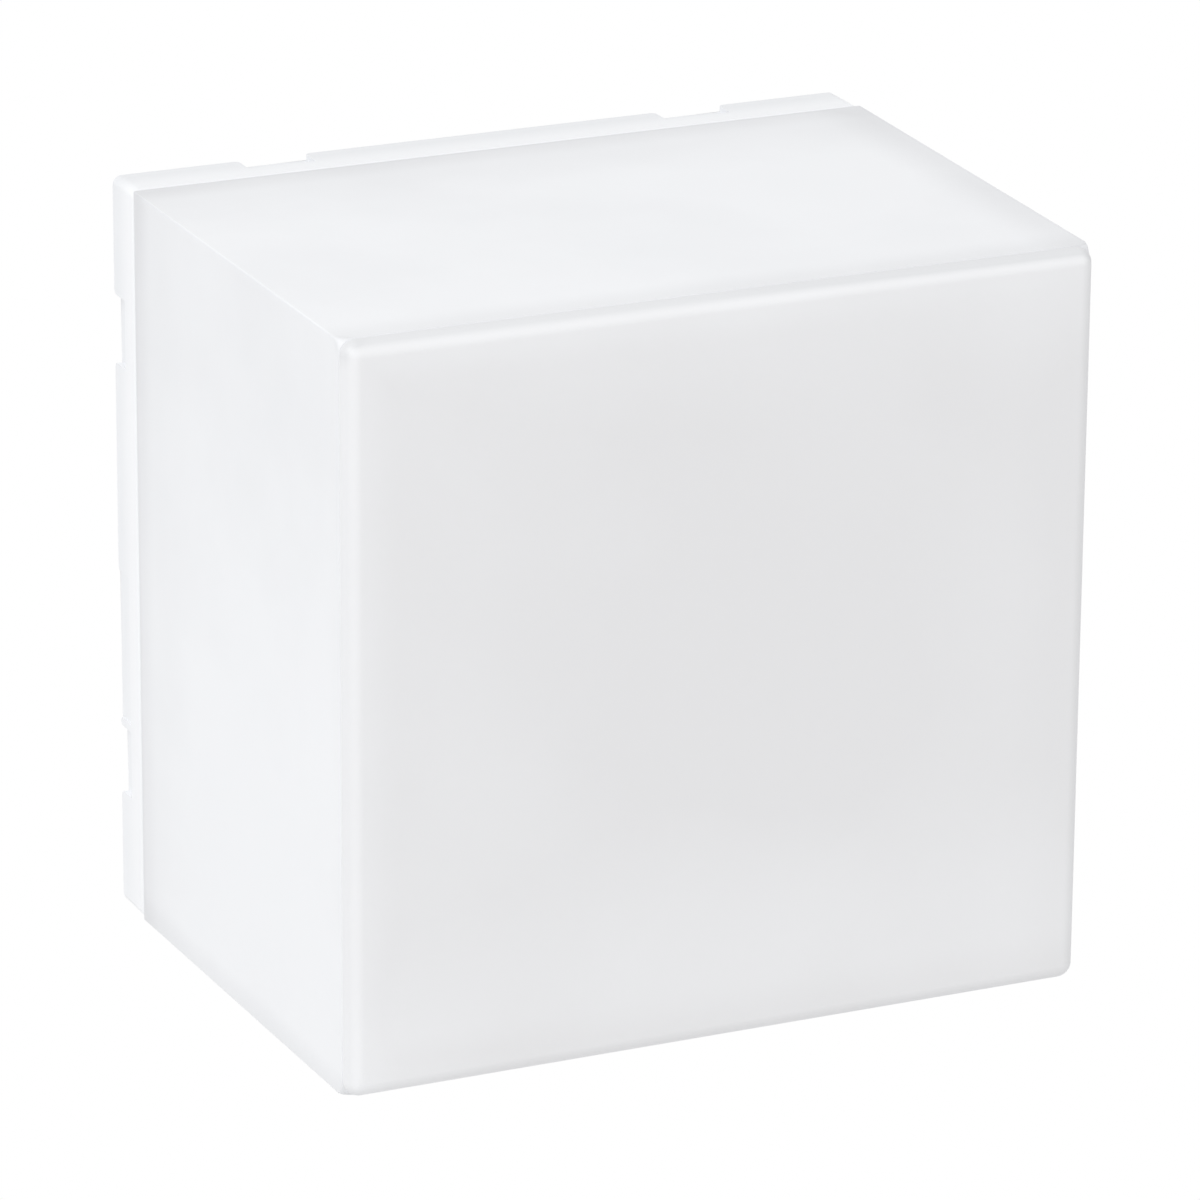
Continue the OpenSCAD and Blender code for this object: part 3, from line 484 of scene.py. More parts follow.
        # Painted shade beside the base, in the front corners, on the top and down the sides.
        seam_painted_shade = (self.rear_line.of(from_rear) + self.rear_band.of(from_rear)) * self.rear_corner.of(from_corner)
        reach = self.rear_reach.of(from_rear) * (top * self.rear_reach_top + self.rear_reach_side)
        nook = self.corner_nook.of(from_corner) * self.shoulder_nook.of(from_shoulder)
        on_top = self.shoulder_top_painted_shade.of(from_shoulder) + self.right_end_painted_shade.of(self.half_width - x) + self.top_painted_shade
        on_side = self.shoulder_side_painted_shade.of(from_shoulder) + self.side_painted_shade_from_top.of(from_top)
        return seam_painted_shade + reach + nook + on_top * top + on_side * side + self.foot_painted_shade.of(from_foot)

    def draw(self, graph: Graph) -> None:
        """Draws the front's painted glow and painted shade, the sides' painted shade, faint clouding and a
        satin skin.

        Args:
            graph: The graph to draw in.
        """
        x, y, z = graph.place()
        cloud = self.cloud_tone.of(self.clouds.on(graph))
        # Painted glow and painted shade are blended into the front's colour, and painted shade into the sides'.
        front = graph.blend(self.painted_edge_glow(x, z) + cloud, self.face, self.painted_glow)
        front = graph.blend(self.roll_painted_shade(x, y, z), front, self.painted_roll_shade_colour)
        side = graph.blend(self.flank_painted_shade(x, y, z) + cloud, self.flank, self.seam_painted_shade)
        graph.surface({
            "Base Color": graph.blend(self.roll_end.of(y - self.front), front, side),
            "Roughness": self.sheen.on(graph).spread(*self.gloss),
            "IOR": self.refraction,
            "Normal": self.skin.relief(graph, self.skin.on(graph)),
        })


@dataclass(frozen=True)
class HousingFinish(Finish):
    """White moulded base with painted light along its front edge and painted shade on its top."""

    colour: Colour = (0.882, 0.895, 0.917)
    # Colour of the painted light along the front edge. The shade colour serves both the random patches and the
    # painted shade on the top.
    painted_light: Colour = (0.955, 0.965, 0.985)
    shade: Colour = (0.838, 0.851, 0.873)
    front: float = -16 * MM
    half_height: float = 108 * MM
    top_side: Ease = Ease(0.0, 3 * MM)
    top_loss: float = 0.25
    front_painted_light: Ease = Ease(3 * MM, 14 * MM, 0.0, 1.0)
    foot_painted_light: Ease = Ease(0.0, 108 * MM, 0.4)
    patches: Grain = Grain(30.0, 4.0)
    patch_tone: Ease = Ease(0.35, 0.75, 0.0, 0.25)
    grain: Grain = Grain(1800.0, 3.0, 0.25, 0.02 * MM)
    gloss: Sizes = (0.36, 0.46)

    def draw(self, graph: Graph) -> None:
        """Draws a body with painted light towards its front edge and foot, painted shade on its top, random
        patches and a fine moulded grain.

        Args:
            graph: The graph to draw in.
        """
        _, y, z = graph.place()
        # Painted shade on the top, and painted light along the front edge and towards the foot.
        top = self.top_side.of(self.half_height - z)
        low = self.foot_painted_light.of(z + self.half_height)
        painted_light = self.front_painted_light.of(y - self.front) * (low - 1.0) + 1.0
        patch = self.patches.on(graph)
        body = graph.blend(self.patch_tone.of(patch) + top, self.colour, self.shade)
        graph.surface({
            "Base Color": graph.blend(painted_light * (1.0 - self.top_loss * top), body, self.painted_light),
            "Roughness": patch.spread(*self.gloss),
            "Normal": self.grain.relief(graph, self.grain.on(graph)),
        })


@dataclass(frozen=True)
class MouldedFinish(Finish):
    """Moulded plastic with a fine spark-eroded texture."""

    colour: Colour
    shade: Colour
    gloss: Sizes
    grain: Grain = Grain(1800.0, 3.0, 0.35, 0.03 * MM)
    grain_tone: Ease = Ease(0.55, 0.8, 0.0, 0.25)
    patches: Grain = Grain(25.0, 4.0)
    patch_tone: Ease = Ease(0.35, 0.75, 0.0, 0.6)

    def draw(self, graph: Graph) -> None:
        """Draws a body colour with faint patches, grain and uneven gloss.

        Args:
            graph: The graph to draw in.
        """
        patch, grain = self.patches.on(graph), self.grain.on(graph)
        tone = graph.blend(self.patch_tone.of(patch), self.colour, self.shade)
        graph.surface({
            "Base Color": graph.blend(self.grain_tone.of(grain), tone, self.shade),
            "Roughness": patch.spread(*self.gloss),
            "Normal": self.grain.relief(graph, grain),
        })


@dataclass(frozen=True)
class RubberFinish(Finish):
    """Dull rubber with dust in its pores."""

    colour: Colour
    dust: Colour
    pores: Grain = Grain(1500.0, 4.0, 0.5, 0.05 * MM)
    bloom: Grain = Grain(60.0, 5.0)
    bloom_tone: Ease = Ease(0.45, 0.8, 0.0, 0.5)
    gloss: Sizes = (0.72, 0.92)

    def draw(self, graph: Graph) -> None:
        """Draws a matt body with pores and a dusty bloom.

        Args:
            graph: The graph to draw in.
        """
        pores = self.pores.on(graph)
        graph.surface({
            "Base Color": graph.blend(self.bloom_tone.of(self.bloom.on(graph)), self.colour, self.dust),
            "Roughness": pores.spread(*self.gloss),
            "Normal": self.pores.relief(graph, pores),
        })


@dataclass(frozen=True)
class MetalFinish(Finish):
    """Plated or turned metal with fine marks along one axis."""

    colour: Colour
    tarnish: Colour
    gloss: Sizes
    marks: Grain = Grain(2200.0, 3.0, 0.2, 0.01 * MM, (1.0, 1.0, 0.08))
    clouds: Grain = Grain(180.0, 4.0)
    cloud_tone: Ease = Ease(0.4, 0.8, 0.0, 0.6)

    def draw(self, graph: Graph) -> None:
        """Draws metal with brushed marks and a cloudy tarnish.

        Args:
            graph: The graph to draw in.
        """
        marks = self.marks.on(graph)
        graph.surface({
            "Base Color": graph.blend(self.cloud_tone.of(self.clouds.on(graph)), self.colour, self.tarnish),
            "Metallic": 1.0,
            "Roughness": marks.spread(*self.gloss),
            "Normal": self.marks.relief(graph, marks),
        })


@dataclass(frozen=True)
class PowderFinish(Finish):
    """Powder-coated sheet with the orange peel of the coat."""

    colour: Colour
    shade: Colour
    peel: Grain = Grain(700.0, 2.0, 0.25, 0.04 * MM)
    dust: Grain = Grain(40.0, 5.0)
    dust_tone: Ease = Ease(0.45, 0.8, 0.0, 0.5)
    gloss: Sizes = (0.34, 0.46)

    def draw(self, graph: Graph) -> None:
        """Draws a white coat with orange peel and faint dust.

        Args:
            graph: The graph to draw in.
        """
        peel = self.peel.on(graph)
        graph.surface({
            "Base Color": graph.blend(self.dust_tone.of(self.dust.on(graph)), self.colour, self.shade),
            "Roughness": peel.spread(*self.gloss),
            "Normal": self.peel.relief(graph, peel),
        })


@dataclass(frozen=True)
class BoardFinish(Finish):
    """White solder mask over copper tracks, with the laminate showing at the edges."""

    front: float
    centre_z: float
    mask: Colour = (0.86, 0.86, 0.84)
    track: Colour = (0.80, 0.79, 0.76)
    laminate: Colour = (0.62, 0.60, 0.42)
    weft: Colour = (0.5, 0.47, 0.30)
    track_inner: Ease = Ease(3.4 * MM, 3.7 * MM, 0.0, 1.0)
    track_outer: Ease = Ease(6.6 * MM, 6.9 * MM)
    track_pitch: float = 13 * MM
    track_end: Ease = Ease(0.42, 0.45)
    edge: Ease = Ease(0.1 * MM, 0.25 * MM, 0.0, 1.0)
    edge_roughness: float = 0.35
    weave: Grain = Grain(900.0, 3.0, 0.5, 0.06 * MM)
    weave_height: float = 0.05
    gloss: Sizes = (0.24, 0.34)

    def draw(self, graph: Graph) -> None:
        """Draws two raised tracks along the board and a bare laminate edge.

        Args:
            graph: The graph to draw in.
        """
        x, y, z = graph.place()
        offset = (z - self.centre_z).size()
        along = ((x / self.track_pitch).fraction() - 0.5).size()
        copper = self.track_inner.of(offset) * self.track_outer.of(offset) * self.track_end.of(along)
        edge = self.edge.of(y - self.front)
        weave = self.weave.on(graph)
        mask = graph.blend(copper, self.mask, self.track)
        laminate = graph.blend(weave.spread(0.0, 1.0), self.laminate, self.weft)
        graph.surface({
            "Base Color": graph.blend(edge, mask, laminate),
            "Roughness": weave.spread(*self.gloss) + edge * self.edge_roughness,
            "Normal": self.weave.relief(graph, copper + weave * self.weave_height),
        })


@dataclass(frozen=True)
class PhosphorFinish(Finish):
    """Silicone filled with yellow phosphor grains."""

    colour: Colour = (0.88, 0.68, 0.13)
    grain: Colour = (0.93, 0.80, 0.32)
    grains: Grain = Grain(5200.0, 2.0, 0.3, 0.03 * MM)
    grain_tone: Ease = Ease(0.4, 0.7, 0.0, 1.0)
    gloss: Sizes = (0.22, 0.4)
    coat: float = 0.4

    def draw(self, graph: Graph) -> None:
        """Draws grains of phosphor under a clear skin.

        Args:
            graph: The graph to draw in.
        """
        grains = self.grains.on(graph)
        graph.surface({
            "Base Color": graph.blend(self.grain_tone.of(grains), self.colour, self.grain),
            "Roughness": grains.spread(*self.gloss),
            "Coat Weight": self.coat,
            "Normal": self.grains.relief(graph, grains),
        })


@dataclass(frozen=True)
class LeadFinish(Finish):
    """Extruded insulation, plain or with a second colour in bands along the lead."""

    colour: Colour
    stripe: Colour
    striped: bool = False
    marks: Grain = Grain(400.0, 3.0, 0.2, 0.03 * MM)
    mark_tone: Ease = Ease(0.4, 0.8, 0.0, 0.5)
    slant: Place = (1170.0, 990.0, 810.0)
    band: Ease = Ease(-0.15, 0.15, 0.0, 1.0)
    gloss: Sizes = (0.3, 0.45)

    def draw(self, graph: Graph) -> None:
        """Draws soft vinyl with faint draw marks and its stripe.

        Args:
            graph: The graph to draw in.
        """
        x, y, z = graph.place()
        marks = self.marks.on(graph)
        amount = self.mark_tone.of(marks)
        if self.striped:
            amount = self.band.of((x * self.slant[0] + y * self.slant[1] + z * self.slant[2]).sine())
        graph.surface({
            "Base Color": graph.blend(amount, self.colour, self.stripe),
            "Roughness": marks.spread(*self.gloss),
            "Normal": self.marks.relief(graph, marks),
        })


@dataclass(frozen=True)
class FloorFinish(Finish):
    """Pale floor that shows white to the camera and keeps a soft shadow."""

    colour: Colour = (0.90, 0.90, 0.90)
    shade: Colour = (0.83, 0.83, 0.83)
    mottle: Grain = Grain(6.0, 3.0)
    mottle_tone: float = 0.3

    def draw(self, graph: Graph) -> None:
        """Mixes a pale diffuse floor with white for rays that show the background.

        Args:
            graph: The graph to draw in.
        """
        tone = graph.blend(self.mottle.on(graph).spread(0.0, self.mottle_tone), self.colour, self.shade)
        floor = graph.node("ShaderNodeBsdfDiffuse", {}, {"Color": tone})
        white = graph.node("ShaderNodeEmission", {}, {"Color": WHITE, "Strength": 1.0})
        mixed = graph.node("ShaderNodeMixShader", {}, {0: graph.background_rays(), 1: floor, 2: white})
        graph.end(mixed, "ShaderNodeOutputMaterial")


OPAL = OpalFinish("satin_opal")
BASE_PLASTIC = HousingFinish("base_plastic")
DRIVER_PLASTIC = MouldedFinish("driver_plastic", (0.80, 0.80, 0.79), (0.72, 0.72, 0.71), (0.49, 0.61),
                               Grain(1100.0, 3.0, 0.35, 0.06 * MM))
BLOCK_PLASTIC = MouldedFinish("block_plastic", (0.56, 0.57, 0.58), (0.50, 0.51, 0.52), (0.34, 0.46))
CONNECTOR_PLASTIC = MouldedFinish("connector_plastic", (0.80, 0.79, 0.74), (0.73, 0.72, 0.67), (0.36, 0.48))
LEVER_PLASTIC = MouldedFinish("lever_plastic", (0.86, 0.29, 0.03), (0.76, 0.24, 0.025), (0.24, 0.36),
                              Grain(900.0, 3.0, 0.35, 0.01 * MM))
CHIP_PLASTIC = MouldedFinish("chip_plastic", (0.88, 0.88, 0.85), (0.84, 0.84, 0.80), (0.29, 0.41))
SEAL_RUBBER = RubberFinish("seal_rubber", (0.045, 0.045, 0.048), (0.10, 0.10, 0.10))
GROMMET_RUBBER = RubberFinish("grommet_rubber", (0.025, 0.025, 0.027), (0.07, 0.07, 0.07))
ZINC = MetalFinish("zinc_plate", (0.66, 0.67, 0.68), (0.55, 0.55, 0.54), (0.24, 0.42))
BRASS = MetalFinish("turned_brass", (0.72, 0.53, 0.24), (0.58, 0.42, 0.19), (0.20, 0.38))
TRAY_PAINT = PowderFinish("tray_paint", (0.86, 0.86, 0.855), (0.82, 0.82, 0.81))
PHOSPHOR = PhosphorFinish("phosphor")
LEADS = {
    "lead_line": LeadFinish("lead_brown", (0.13, 0.055, 0.028), (0.17, 0.08, 0.04)),
    "lead_neutral": LeadFinish("lead_blue", (0.02, 0.09, 0.42), (0.04, 0.13, 0.5)),
    "lead_earth": LeadFinish("lead_green", (0.07, 0.30, 0.05), (0.80, 0.62, 0.04), True),
    "lead_led_positive": LeadFinish("lead_red", (0.48, 0.02, 0.018), (0.56, 0.04, 0.03)),
    "lead_led_negative": LeadFinish("lead_black", (0.012, 0.012, 0.013), (0.03, 0.03, 0.03)),
    "link_leads": LeadFinish("link_ivory", (0.74, 0.71, 0.61), (0.68, 0.65, 0.54)),
}


@dataclass(frozen=True)
class Moulding:
    """How one node of the frame is softened: its finish, its edges' width and steps, and its body."""

    node: str
    finish: Finish
    edge: float
    steps: int = 2
    body: Body = Body.BASE


@dataclass
class Piece:
    """Common work of every class that makes pieces."""

    made: list[str] = field(default_factory=list)
    normal_weight: int = 90
    soft_above: float = math.radians(32)
    sharp_above: float = math.radians(40)

    def finish(self, bm: bmesh.types.BMesh, name: str, node: str, body: Body, finishes: Iterable[Finish],
               sharp: float | None = None) -> bpy.types.Object:
        """Turns a finished bmesh into a piece that stands for a node of the frame.

        Args:
            bm: The mesh, in place; it is freed.
            name: The new piece's name.
            node: The node that it stands for.
            body: The body that it rides on.
            finishes: Finishes in the order of the mesh's material numbers.
            sharp: Angle above which an edge stays sharp, where it isn't the usual one.

        Returns:
            The new object.
        """
        mesh = bpy.data.meshes.new(name)
        bm.to_mesh(mesh)
        bm.free()
        for chosen in finishes:
            mesh.materials.append(chosen.material())
        mesh.shade_smooth()
        mesh.set_sharp_from_angle(angle=sharp or self.sharp_above)
        piece = bpy.data.objects.new(name, mesh)
        bpy.context.scene.collection.objects.link(piece)
        weights = piece.modifiers.new("weighted_normals", "WEIGHTED_NORMAL")
        weights.keep_sharp = True
        weights.weight = self.normal_weight
        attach(piece, body.value)
        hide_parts(node)
        slot_of(node)
        self.made.append(name)
        LOG.info("%s stands for %s, %d faces", name, node, len(mesh.polygons))
        return piece

    def softened(self, part: Moulding) -> bpy.types.Object:
        """Makes a copy of a node with its sharp edges rounded.

        Args:
            part: The node, its finish and its edges.

        Returns:
            The new object.
        """
        bm = merged_copy(part.node)
        edges = [e for e in bm.edges if e.is_manifold and e.calc_face_angle(0.0) > self.soft_above]
        soften(bm, edges, part.edge, part.steps)
        return self.finish(bm, f"{part.node}_moulding", part.node, part.body, [part.finish])


def slot_of(node: str) -> str:
    """The record's material slot of a node."""
    return next(row["material_slot"] for row in frame["record"]["subparts"] if row["node"] == node)


def merged_copy(node: str, flatten: bool = True) -> bmesh.types.BMesh:
    """A bmesh copy of a node with its loose triangles merged.

    Args:
        node: The node's name.
        flatten: Whether triangles in one plane become one face.

    Returns:
        The merged copy.
    """
    bm = bmesh.new()
    bm.from_mesh(frame["nodes"][node].data)
    bmesh.ops.remove_doubles(bm, verts=bm.verts, dist=MERGE_DISTANCE)
    if flatten:
        bmesh.ops.dissolve_limit(bm, angle_limit=FLAT_ANGLE, verts=bm.verts, edges=bm.edges)
    return bm


def soften(bm: bmesh.types.BMesh, edges: list[bmesh.types.BMEdge], width: float, steps: int) -> None:
    """Rounds edges of a mesh.

    Args:
        bm: The mesh.
        edges: The edges to round.
        width: How far the rounding reaches on each side.
        steps: Faces across it.
    """
    bmesh.ops.bevel(bm, geom=edges, offset=width, offset_type="OFFSET", segments=steps, profile=ROUND_PROFILE,
                    affect="EDGES", clamp_overlap=True, material=-1)


def dress(node: str, finish: Finish) -> None:
    """Gives a node of the frame its finish, and leaves its shape.

    Args:
        node: The node's name.
        finish: The finish.
    """
    target = frame["nodes"][node]
    target.data.materials.clear()
    target.data.materials.append(finish.material())
    LOG.info("%s keeps its shape and is %s", node, finish.name)


@dataclass
class Cover(Piece):
    """The opal box, made as one closed shell of rounded loops."""

    front_half: Sizes = BOX_HALF
    draft: float = BOX_DRAFT
    shoulder: float = BOX_SHOULDER
    rear: float = BOX_REAR
    tongue_rear: float = -9.7 * MM
    wall: float = 3 * MM
    roll: float = BOX_ROLL
    step: float = 0.15 * MM
    corner_run: tuple[Sizes, ...] = ((0.7 * MM, 2.9 * MM), (1.5 * MM, 1.5 * MM), (3 * MM, 0.5 * MM))
    rear_radius: float = 0.35 * MM
    inner_radius: float = 0.8 * MM
    tongue_in: float = 3.4 * MM
    tongue_inner: float = 5.8 * MM
    flange: float = 3 * MM
    soft_edge: float = 0.1 * MM
    soft_bend: float = 0.3
    least_radius: float = 0.05 * MM
    corner_steps: int = 8
    roll_steps: int = 12
    crease: float = math.radians(35)

    def loop(self, bm: bmesh.types.BMesh, half: Sizes, radius: float, y: float) -> list[bmesh.types.BMEdge]:
        """Adds one rounded rectangle of edges.

        Args:
            bm: The mesh to add to.
            half: Half width and half height.
            radius: Corner radius.
            y: Place along the depth.

        Returns:
            The loop's edges.
        """
        corners = bmesh.ops.create_grid(bm, x_segments=1, y_segments=1, size=1.0)["verts"]
        bmesh.ops.scale(bm, vec=(half[0], half[1], 1.0), verts=corners)
        bmesh.ops.rotate(bm, cent=(0, 0, 0), matrix=UPRIGHT, verts=corners)
        bmesh.ops.translate(bm, vec=(0, y, 0), verts=corners)
        rounded = bmesh.ops.bevel(bm, geom=corners, offset=radius, offset_type="OFFSET",
                                  segments=self.corner_steps, profile=ROUND_PROFILE, affect="VERTICES",
                                  clamp_overlap=False, material=-1)["verts"]
        edges = list({e for v in rounded for e in v.link_edges})
        bmesh.ops.delete(bm, geom=list(rounded[0].link_faces), context="FACES_ONLY")
        return edges

    def half_at(self, y: float, inset: float) -> Sizes:
        """Half width and half height of the drafted side at a depth, drawn in by an inset."""
        out = self.draft * (y - self.shoulder) / (self.rear - self.shoulder) - inset
        return self.front_half[0] + out, self.front_half[1] + out

    def rolled(self, wall: float) -> list[Row]:
        """Rows of the rounded front edge, from the shoulder to the flat front.

        Args:
            wall: How far the surface lies inside the outer one.

        Returns:
            One (half sizes, radius, depth) a row.
        """
        middle = self.half_at(self.shoulder, self.step + self.roll)
        radius = self.roll - wall
        rows = []
        for i in range(self.roll_steps + 1):
            turn = math.radians(90) * i / self.roll_steps
            out = max(radius * math.cos(turn), self.least_radius)
            rows.append(((middle[0] + out, middle[1] + out), out, self.shoulder - radius * math.sin(turn)))
        return rows

    def sides(self) -> list[Row]:
        """Rows of the drafted sides, from the softened shoulder to the softened rear edge.

        Returns:
            One (half sizes, radius, depth) a row.
        """
        soft, bend = self.soft_edge, self.soft_bend * self.soft_edge
        shoulder = self.shoulder
        opening = [(self.half_at(shoulder + run, 0.0), radius, shoulder + run)
                   for run, radius in self.corner_run]
        return [(self.half_at(shoulder, soft), self.roll, shoulder),
                (self.half_at(shoulder, bend), self.roll, shoulder + bend),
                (self.half_at(shoulder, 0.0), self.roll, shoulder + soft),
                *opening,
                (self.half_at(self.rear, 0.0), self.rear_radius, self.rear - soft),
                (self.half_at(self.rear, soft), self.rear_radius, self.rear)]

    def mouth(self) -> list[Row]:
        """Rows of the open end: the tongue that enters the base, and the flange behind it.

        Returns:
            One (half sizes, radius, depth) a row.
        """
        flange = self.rear - self.flange
        tongue = [(self.tongue_in, self.rear), (self.tongue_in, self.tongue_rear),
                  (self.tongue_inner, self.tongue_rear), (self.tongue_inner, flange)]
        rows = [(self.half_at(self.rear, inset), self.inner_radius, y) for inset, y in tongue]
        return [*rows, (self.half_at(flange, self.wall), self.inner_radius, flange)]

    def build(self) -> None:
        """Builds the shell from its rows, closes it and puts it in place of the node."""
        bm = bmesh.new()
        rows = [*reversed(self.rolled(0.0)), *self.sides(), *self.mouth(), *self.rolled(self.wall)]
        loops = [self.loop(bm, *row) for row in rows]
        for (first, row), (second, following) in pairwise(zip(loops, rows)):
            if row[-1] == following[-1]:
                bmesh.ops.triangle_fill(bm, edges=first + second, use_beauty=True, normal=(0, 1, 0))
            else:
                bmesh.ops.bridge_loops(bm, edges=first + second)
        for end in (loops[0], loops[-1]):
            bmesh.ops.contextual_create(bm, geom=end)
        bmesh.ops.recalc_face_normals(bm, faces=bm.faces)
        self.finish(bm, "opal_box", "opal_cover", Body.COVER, [OPAL], self.crease)


@dataclass
class Base(Piece):
    """The moulded base with its seals and fittings."""

    mouldings: tuple[Moulding, ...] = (
        Moulding("base_housing", BASE_PLASTIC, 0.35 * MM, 3),
        Moulding("wall_seal", SEAL_RUBBER, 0.4 * MM),
        Moulding("cover_seal", SEAL_RUBBER, 0.3 * MM),
        Moulding("cable_grommet", GROMMET_RUBBER, 0.3 * MM),
        Moulding("blanking_plug", GROMMET_RUBBER, 0.3 * MM),
        Moulding("fixing_washers", SEAL_RUBBER, 0.3 * MM))

    def build(self) -> None:
        """Softens the mouldings and dresses the small fittings."""
        for part in self.mouldings:
            self.softened(part)
        dress("clamp_inserts", BRASS)
        dress("clamp_screw_left", ZINC)
        dress("clamp_screw_right", ZINC)


@dataclass
class Gear(Piece):
    """The gear tray with its boards, driver and wiring."""

    boards: int = 4
    board_edge: float = 0.12 * MM
    chips: int = 12
    chip_side: float = 5 * MM
    chip_height: float = 0.9 * MM
    chip_edge: float = 0.25 * MM
    lens_radius: float = 1.9 * MM
    lens_flatness: float = 0.28
    lens_sink: float = 0.1 * MM
    lens_sides: int = 20
    lens_rings: int = 10
    lead_crease: float = math.radians(60)
    tray: Moulding = Moulding("gear_tray", TRAY_PAINT, 0.3 * MM)
    mouldings: tuple[Moulding, ...] = (
        Moulding("board_connectors", CONNECTOR_PLASTIC, 0.2 * MM),
        Moulding("driver_case", DRIVER_PLASTIC, 0.5 * MM),
        Moulding("driver_lid", DRIVER_PLASTIC, 0.3 * MM),
        Moulding("terminal_block", BLOCK_PLASTIC, 0.2 * MM),
        Moulding("tray_bush", GROMMET_RUBBER, 0.2 * MM),
        Moulding("tray_screws", ZINC, 0.08 * MM),
        Moulding("board_screws", ZINC, 0.08 * MM),
        Moulding("lid_screws", ZINC, 0.08 * MM),
        Moulding("driver_screws", ZINC, 0.08 * MM),
        Moulding("terminal_screws", ZINC, 0.08 * MM),
        Moulding("terminal_springs", ZINC, 0.08 * MM),
        Moulding("earth_ring", ZINC, 0.08 * MM),
        Moulding("earth_screw", BRASS, 0.08 * MM))
    levers: tuple[Moulding, ...] = (
        Moulding("lever_line", LEVER_PLASTIC, 0.25 * MM, body=Body.LEVER_LINE),
        Moulding("lever_neutral", LEVER_PLASTIC, 0.25 * MM, body=Body.LEVER_NEUTRAL),
        Moulding("lever_earth", LEVER_PLASTIC, 0.25 * MM, body=Body.LEVER_EARTH))

    def chip(self, bm: bmesh.types.BMesh, x: float, z: float, face: float) -> None:
        """Adds one emitter: a white body with a domed phosphor lens.

        Args:
            bm: The mesh to add to.
            x: The emitter's middle across.
            z: The emitter's middle upwards.
            face: Depth of the board's face.
        """
        body = bmesh.ops.create_cube(bm, size=1.0)["verts"]
        bmesh.ops.scale(bm, vec=(self.chip_side, self.chip_height, self.chip_side), verts=body)
        bmesh.ops.translate(bm, vec=(x, face - self.chip_height / 2, z), verts=body)
        edges = list({e for v in body for e in v.link_edges})
        soften(bm, edges, self.chip_edge, 1)
        dome = bmesh.ops.create_uvsphere(bm, u_segments=self.lens_sides, v_segments=self.lens_rings,
                                         radius=self.lens_radius)["verts"]
        bmesh.ops.scale(bm, vec=(1.0, 1.0, self.lens_flatness), verts=dome)
        bmesh.ops.rotate(bm, cent=(0, 0, 0), matrix=UPRIGHT, verts=dome)
        bmesh.ops.translate(bm, vec=(x, face - self.chip_height + self.lens_sink, z), verts=dome)
        for found in {f for v in dome for f in v.link_faces}:
            found.material_index = 1

    def emitters(self, number: int) -> None:
        """Builds one board's row of emitters from the row's own box.

        Args:
            number: The board's number.
        """
        node = f"led_chips_{number}"
        low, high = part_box(node)
        span = high.x - low.x - self.chip_side
        bm = bmesh.new()
        for i in range(self.chips):
            x = low.x + self.chip_side / 2 + span * i / (self.chips - 1)
            self.chip(bm, x, (low.z + high.z) / 2, high.y)
        self.finish(bm, f"emitters_{number}", node, Body.BASE, [CHIP_PLASTIC, PHOSPHOR])

    def lead(self, node: str, finish: Finish) -> None:
        """Builds a smooth lead from the frame's plain one.

        Args:
            node: The lead's node.
            finish: Its finish.
        """
        bm = merged_copy(node, flatten=False)
        self.finish(bm, f"{node}_flex", node, Body.BASE, [finish], self.lead_crease)

    def board(self, number: int) -> None:
        """Builds one board and its emitters.

        Args:
            number: The board's number.
        """
        node = f"led_board_{number}"
        low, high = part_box(node)
        mask = BoardFinish(f"board_mask_{number}", low.y, (low.z + high.z) / 2)
        self.softened(Moulding(node, mask, self.board_edge))
        self.emitters(number)

    def build(self) -> None:
        """Builds the tray, boards, driver, terminals and leads."""
        self.softened(self.tray)
        for number in range(1, self.boards + 1):
            self.board(number)
        for part in self.mouldings:
            self.softened(part)
        for node, finish in LEADS.items():
            self.lead(node, finish)
        for part in self.levers:
            self.softened(part)


@dataclass(frozen=True)
class Lamp:
    """A square soft lamp: where it stands, its side and its power in watts."""

    name: str
    place: Place
    size: float
    power: float


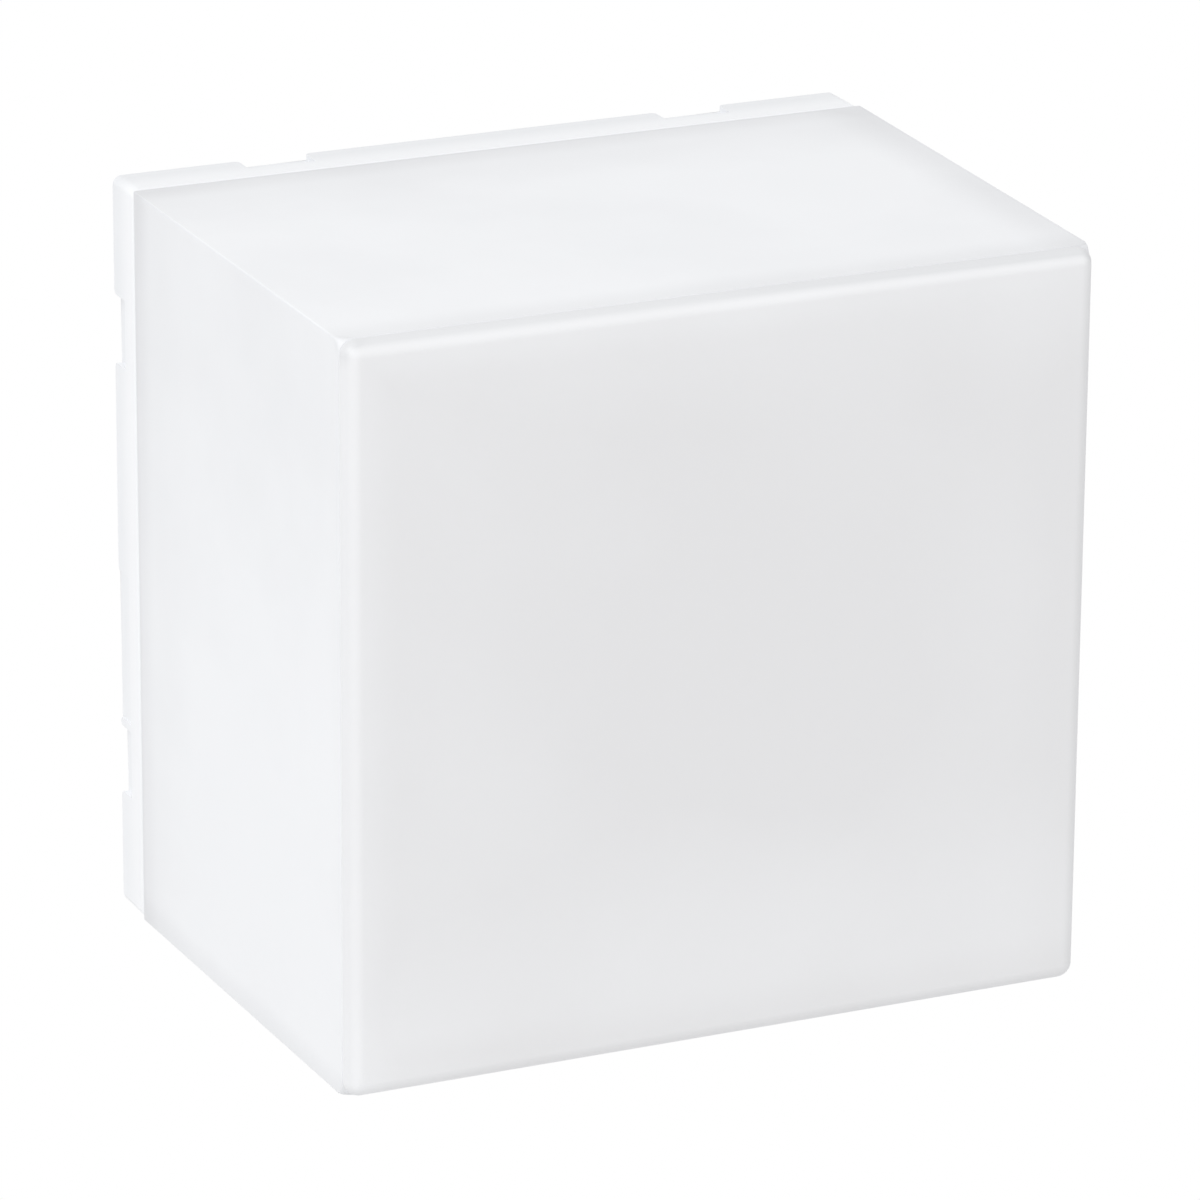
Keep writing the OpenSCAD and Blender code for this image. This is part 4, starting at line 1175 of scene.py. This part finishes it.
@dataclass
class Studio:
    """Floor, lamps, world and camera."""

    floor_z: float = -1.1
    floor_half: float = 12.0
    floor_cells: int = 8
    camera_place: Place = (-0.8132, -1.8679, 0.6874)
    camera_right: Place = (0.91094, -0.41248, 0.00665)
    camera_up: Place = (0.13165, 0.30594, 0.94292)
    camera_ahead: Place = (0.39097, 0.85806, -0.33299)
    lens: float = 224.1
    sensor: float = 36.0
    clip: Sizes = (0.01, 60.0)
    ambient: float = 0.66
    aim: Place = (0.0, -0.08, 0.0)
    lamps: tuple[Lamp, ...] = (
        Lamp("key", (-2.4, -1.3, 2.3), 2.4, 57.0),
        Lamp("fill", (2.4, -2.2, 1.2), 2.4, 14.0))

    def floor(self) -> None:
        """Makes the pale floor."""
        bm = bmesh.new()
        cells = self.floor_cells
        bmesh.ops.create_grid(bm, x_segments=cells, y_segments=cells, size=self.floor_half)
        bmesh.ops.translate(bm, vec=(0, 0, self.floor_z), verts=bm.verts)
        mesh = bpy.data.meshes.new("floor")
        bm.to_mesh(mesh)
        bm.free()
        mesh.materials.append(FloorFinish("studio_floor").material())
        floor = bpy.data.objects.new("floor", mesh)
        bpy.context.scene.collection.objects.link(floor)

    def light(self, lamp: Lamp) -> None:
        """Adds a lamp that faces the light.

        Args:
            lamp: The lamp to add.
        """
        data = bpy.data.lights.new(lamp.name, "AREA")
        data.shape = "SQUARE"
        data.size = lamp.size
        data.energy = lamp.power
        made = bpy.data.objects.new(lamp.name, data)
        bpy.context.scene.collection.objects.link(made)
        made.location = lamp.place
        made.rotation_euler = (Vector(self.aim) - Vector(lamp.place)).to_track_quat("-Z", "Y").to_euler()

    def world(self) -> None:
        """Sets a white surround that is dimmer as a light than as a background."""
        world = bpy.data.worlds.new("studio")
        world.use_nodes = True
        bpy.context.scene.world = world
        graph = Graph(world.node_tree)
        strength = graph.background_rays() * (1.0 - self.ambient) + self.ambient
        sky = graph.node("ShaderNodeBackground", {}, {"Color": WHITE, "Strength": strength})
        graph.end(sky, "ShaderNodeOutputWorld")

    def camera(self) -> None:
        """Puts the camera where the photograph was taken from."""
        data = bpy.data.cameras.new("camera")
        data.lens = self.lens
        data.sensor_width = self.sensor
        data.sensor_fit = "HORIZONTAL"
        data.clip_start, data.clip_end = self.clip
        camera = bpy.data.objects.new("camera", data)
        bpy.context.scene.collection.objects.link(camera)
        right, up, ahead = (Vector(v) for v in (self.camera_right, self.camera_up, self.camera_ahead))
        turn = Matrix((right, up, -ahead)).transposed().to_4x4()
        camera.matrix_world = Matrix.Translation(Vector(self.camera_place)) @ turn
        bpy.context.scene.camera = camera

    def build(self) -> None:
        """Builds the whole studio."""
        self.camera()
        self.floor()
        self.world()
        for lamp in self.lamps:
            self.light(lamp)
        bpy.context.scene.view_settings.view_transform = "Standard"
        LOG.info("studio is ready")


def main() -> None:
    """Builds the studio and every sub-assembly in order, and logs the pieces of each."""
    logging.basicConfig(level=logging.INFO, format="%(message)s")
    Studio().build()
    for part in (Cover(), Base(), Gear()):
        part.build()
        LOG.info("%s: %s", type(part).__name__, ", ".join(part.made))


if __name__ == "__main__":
    main()
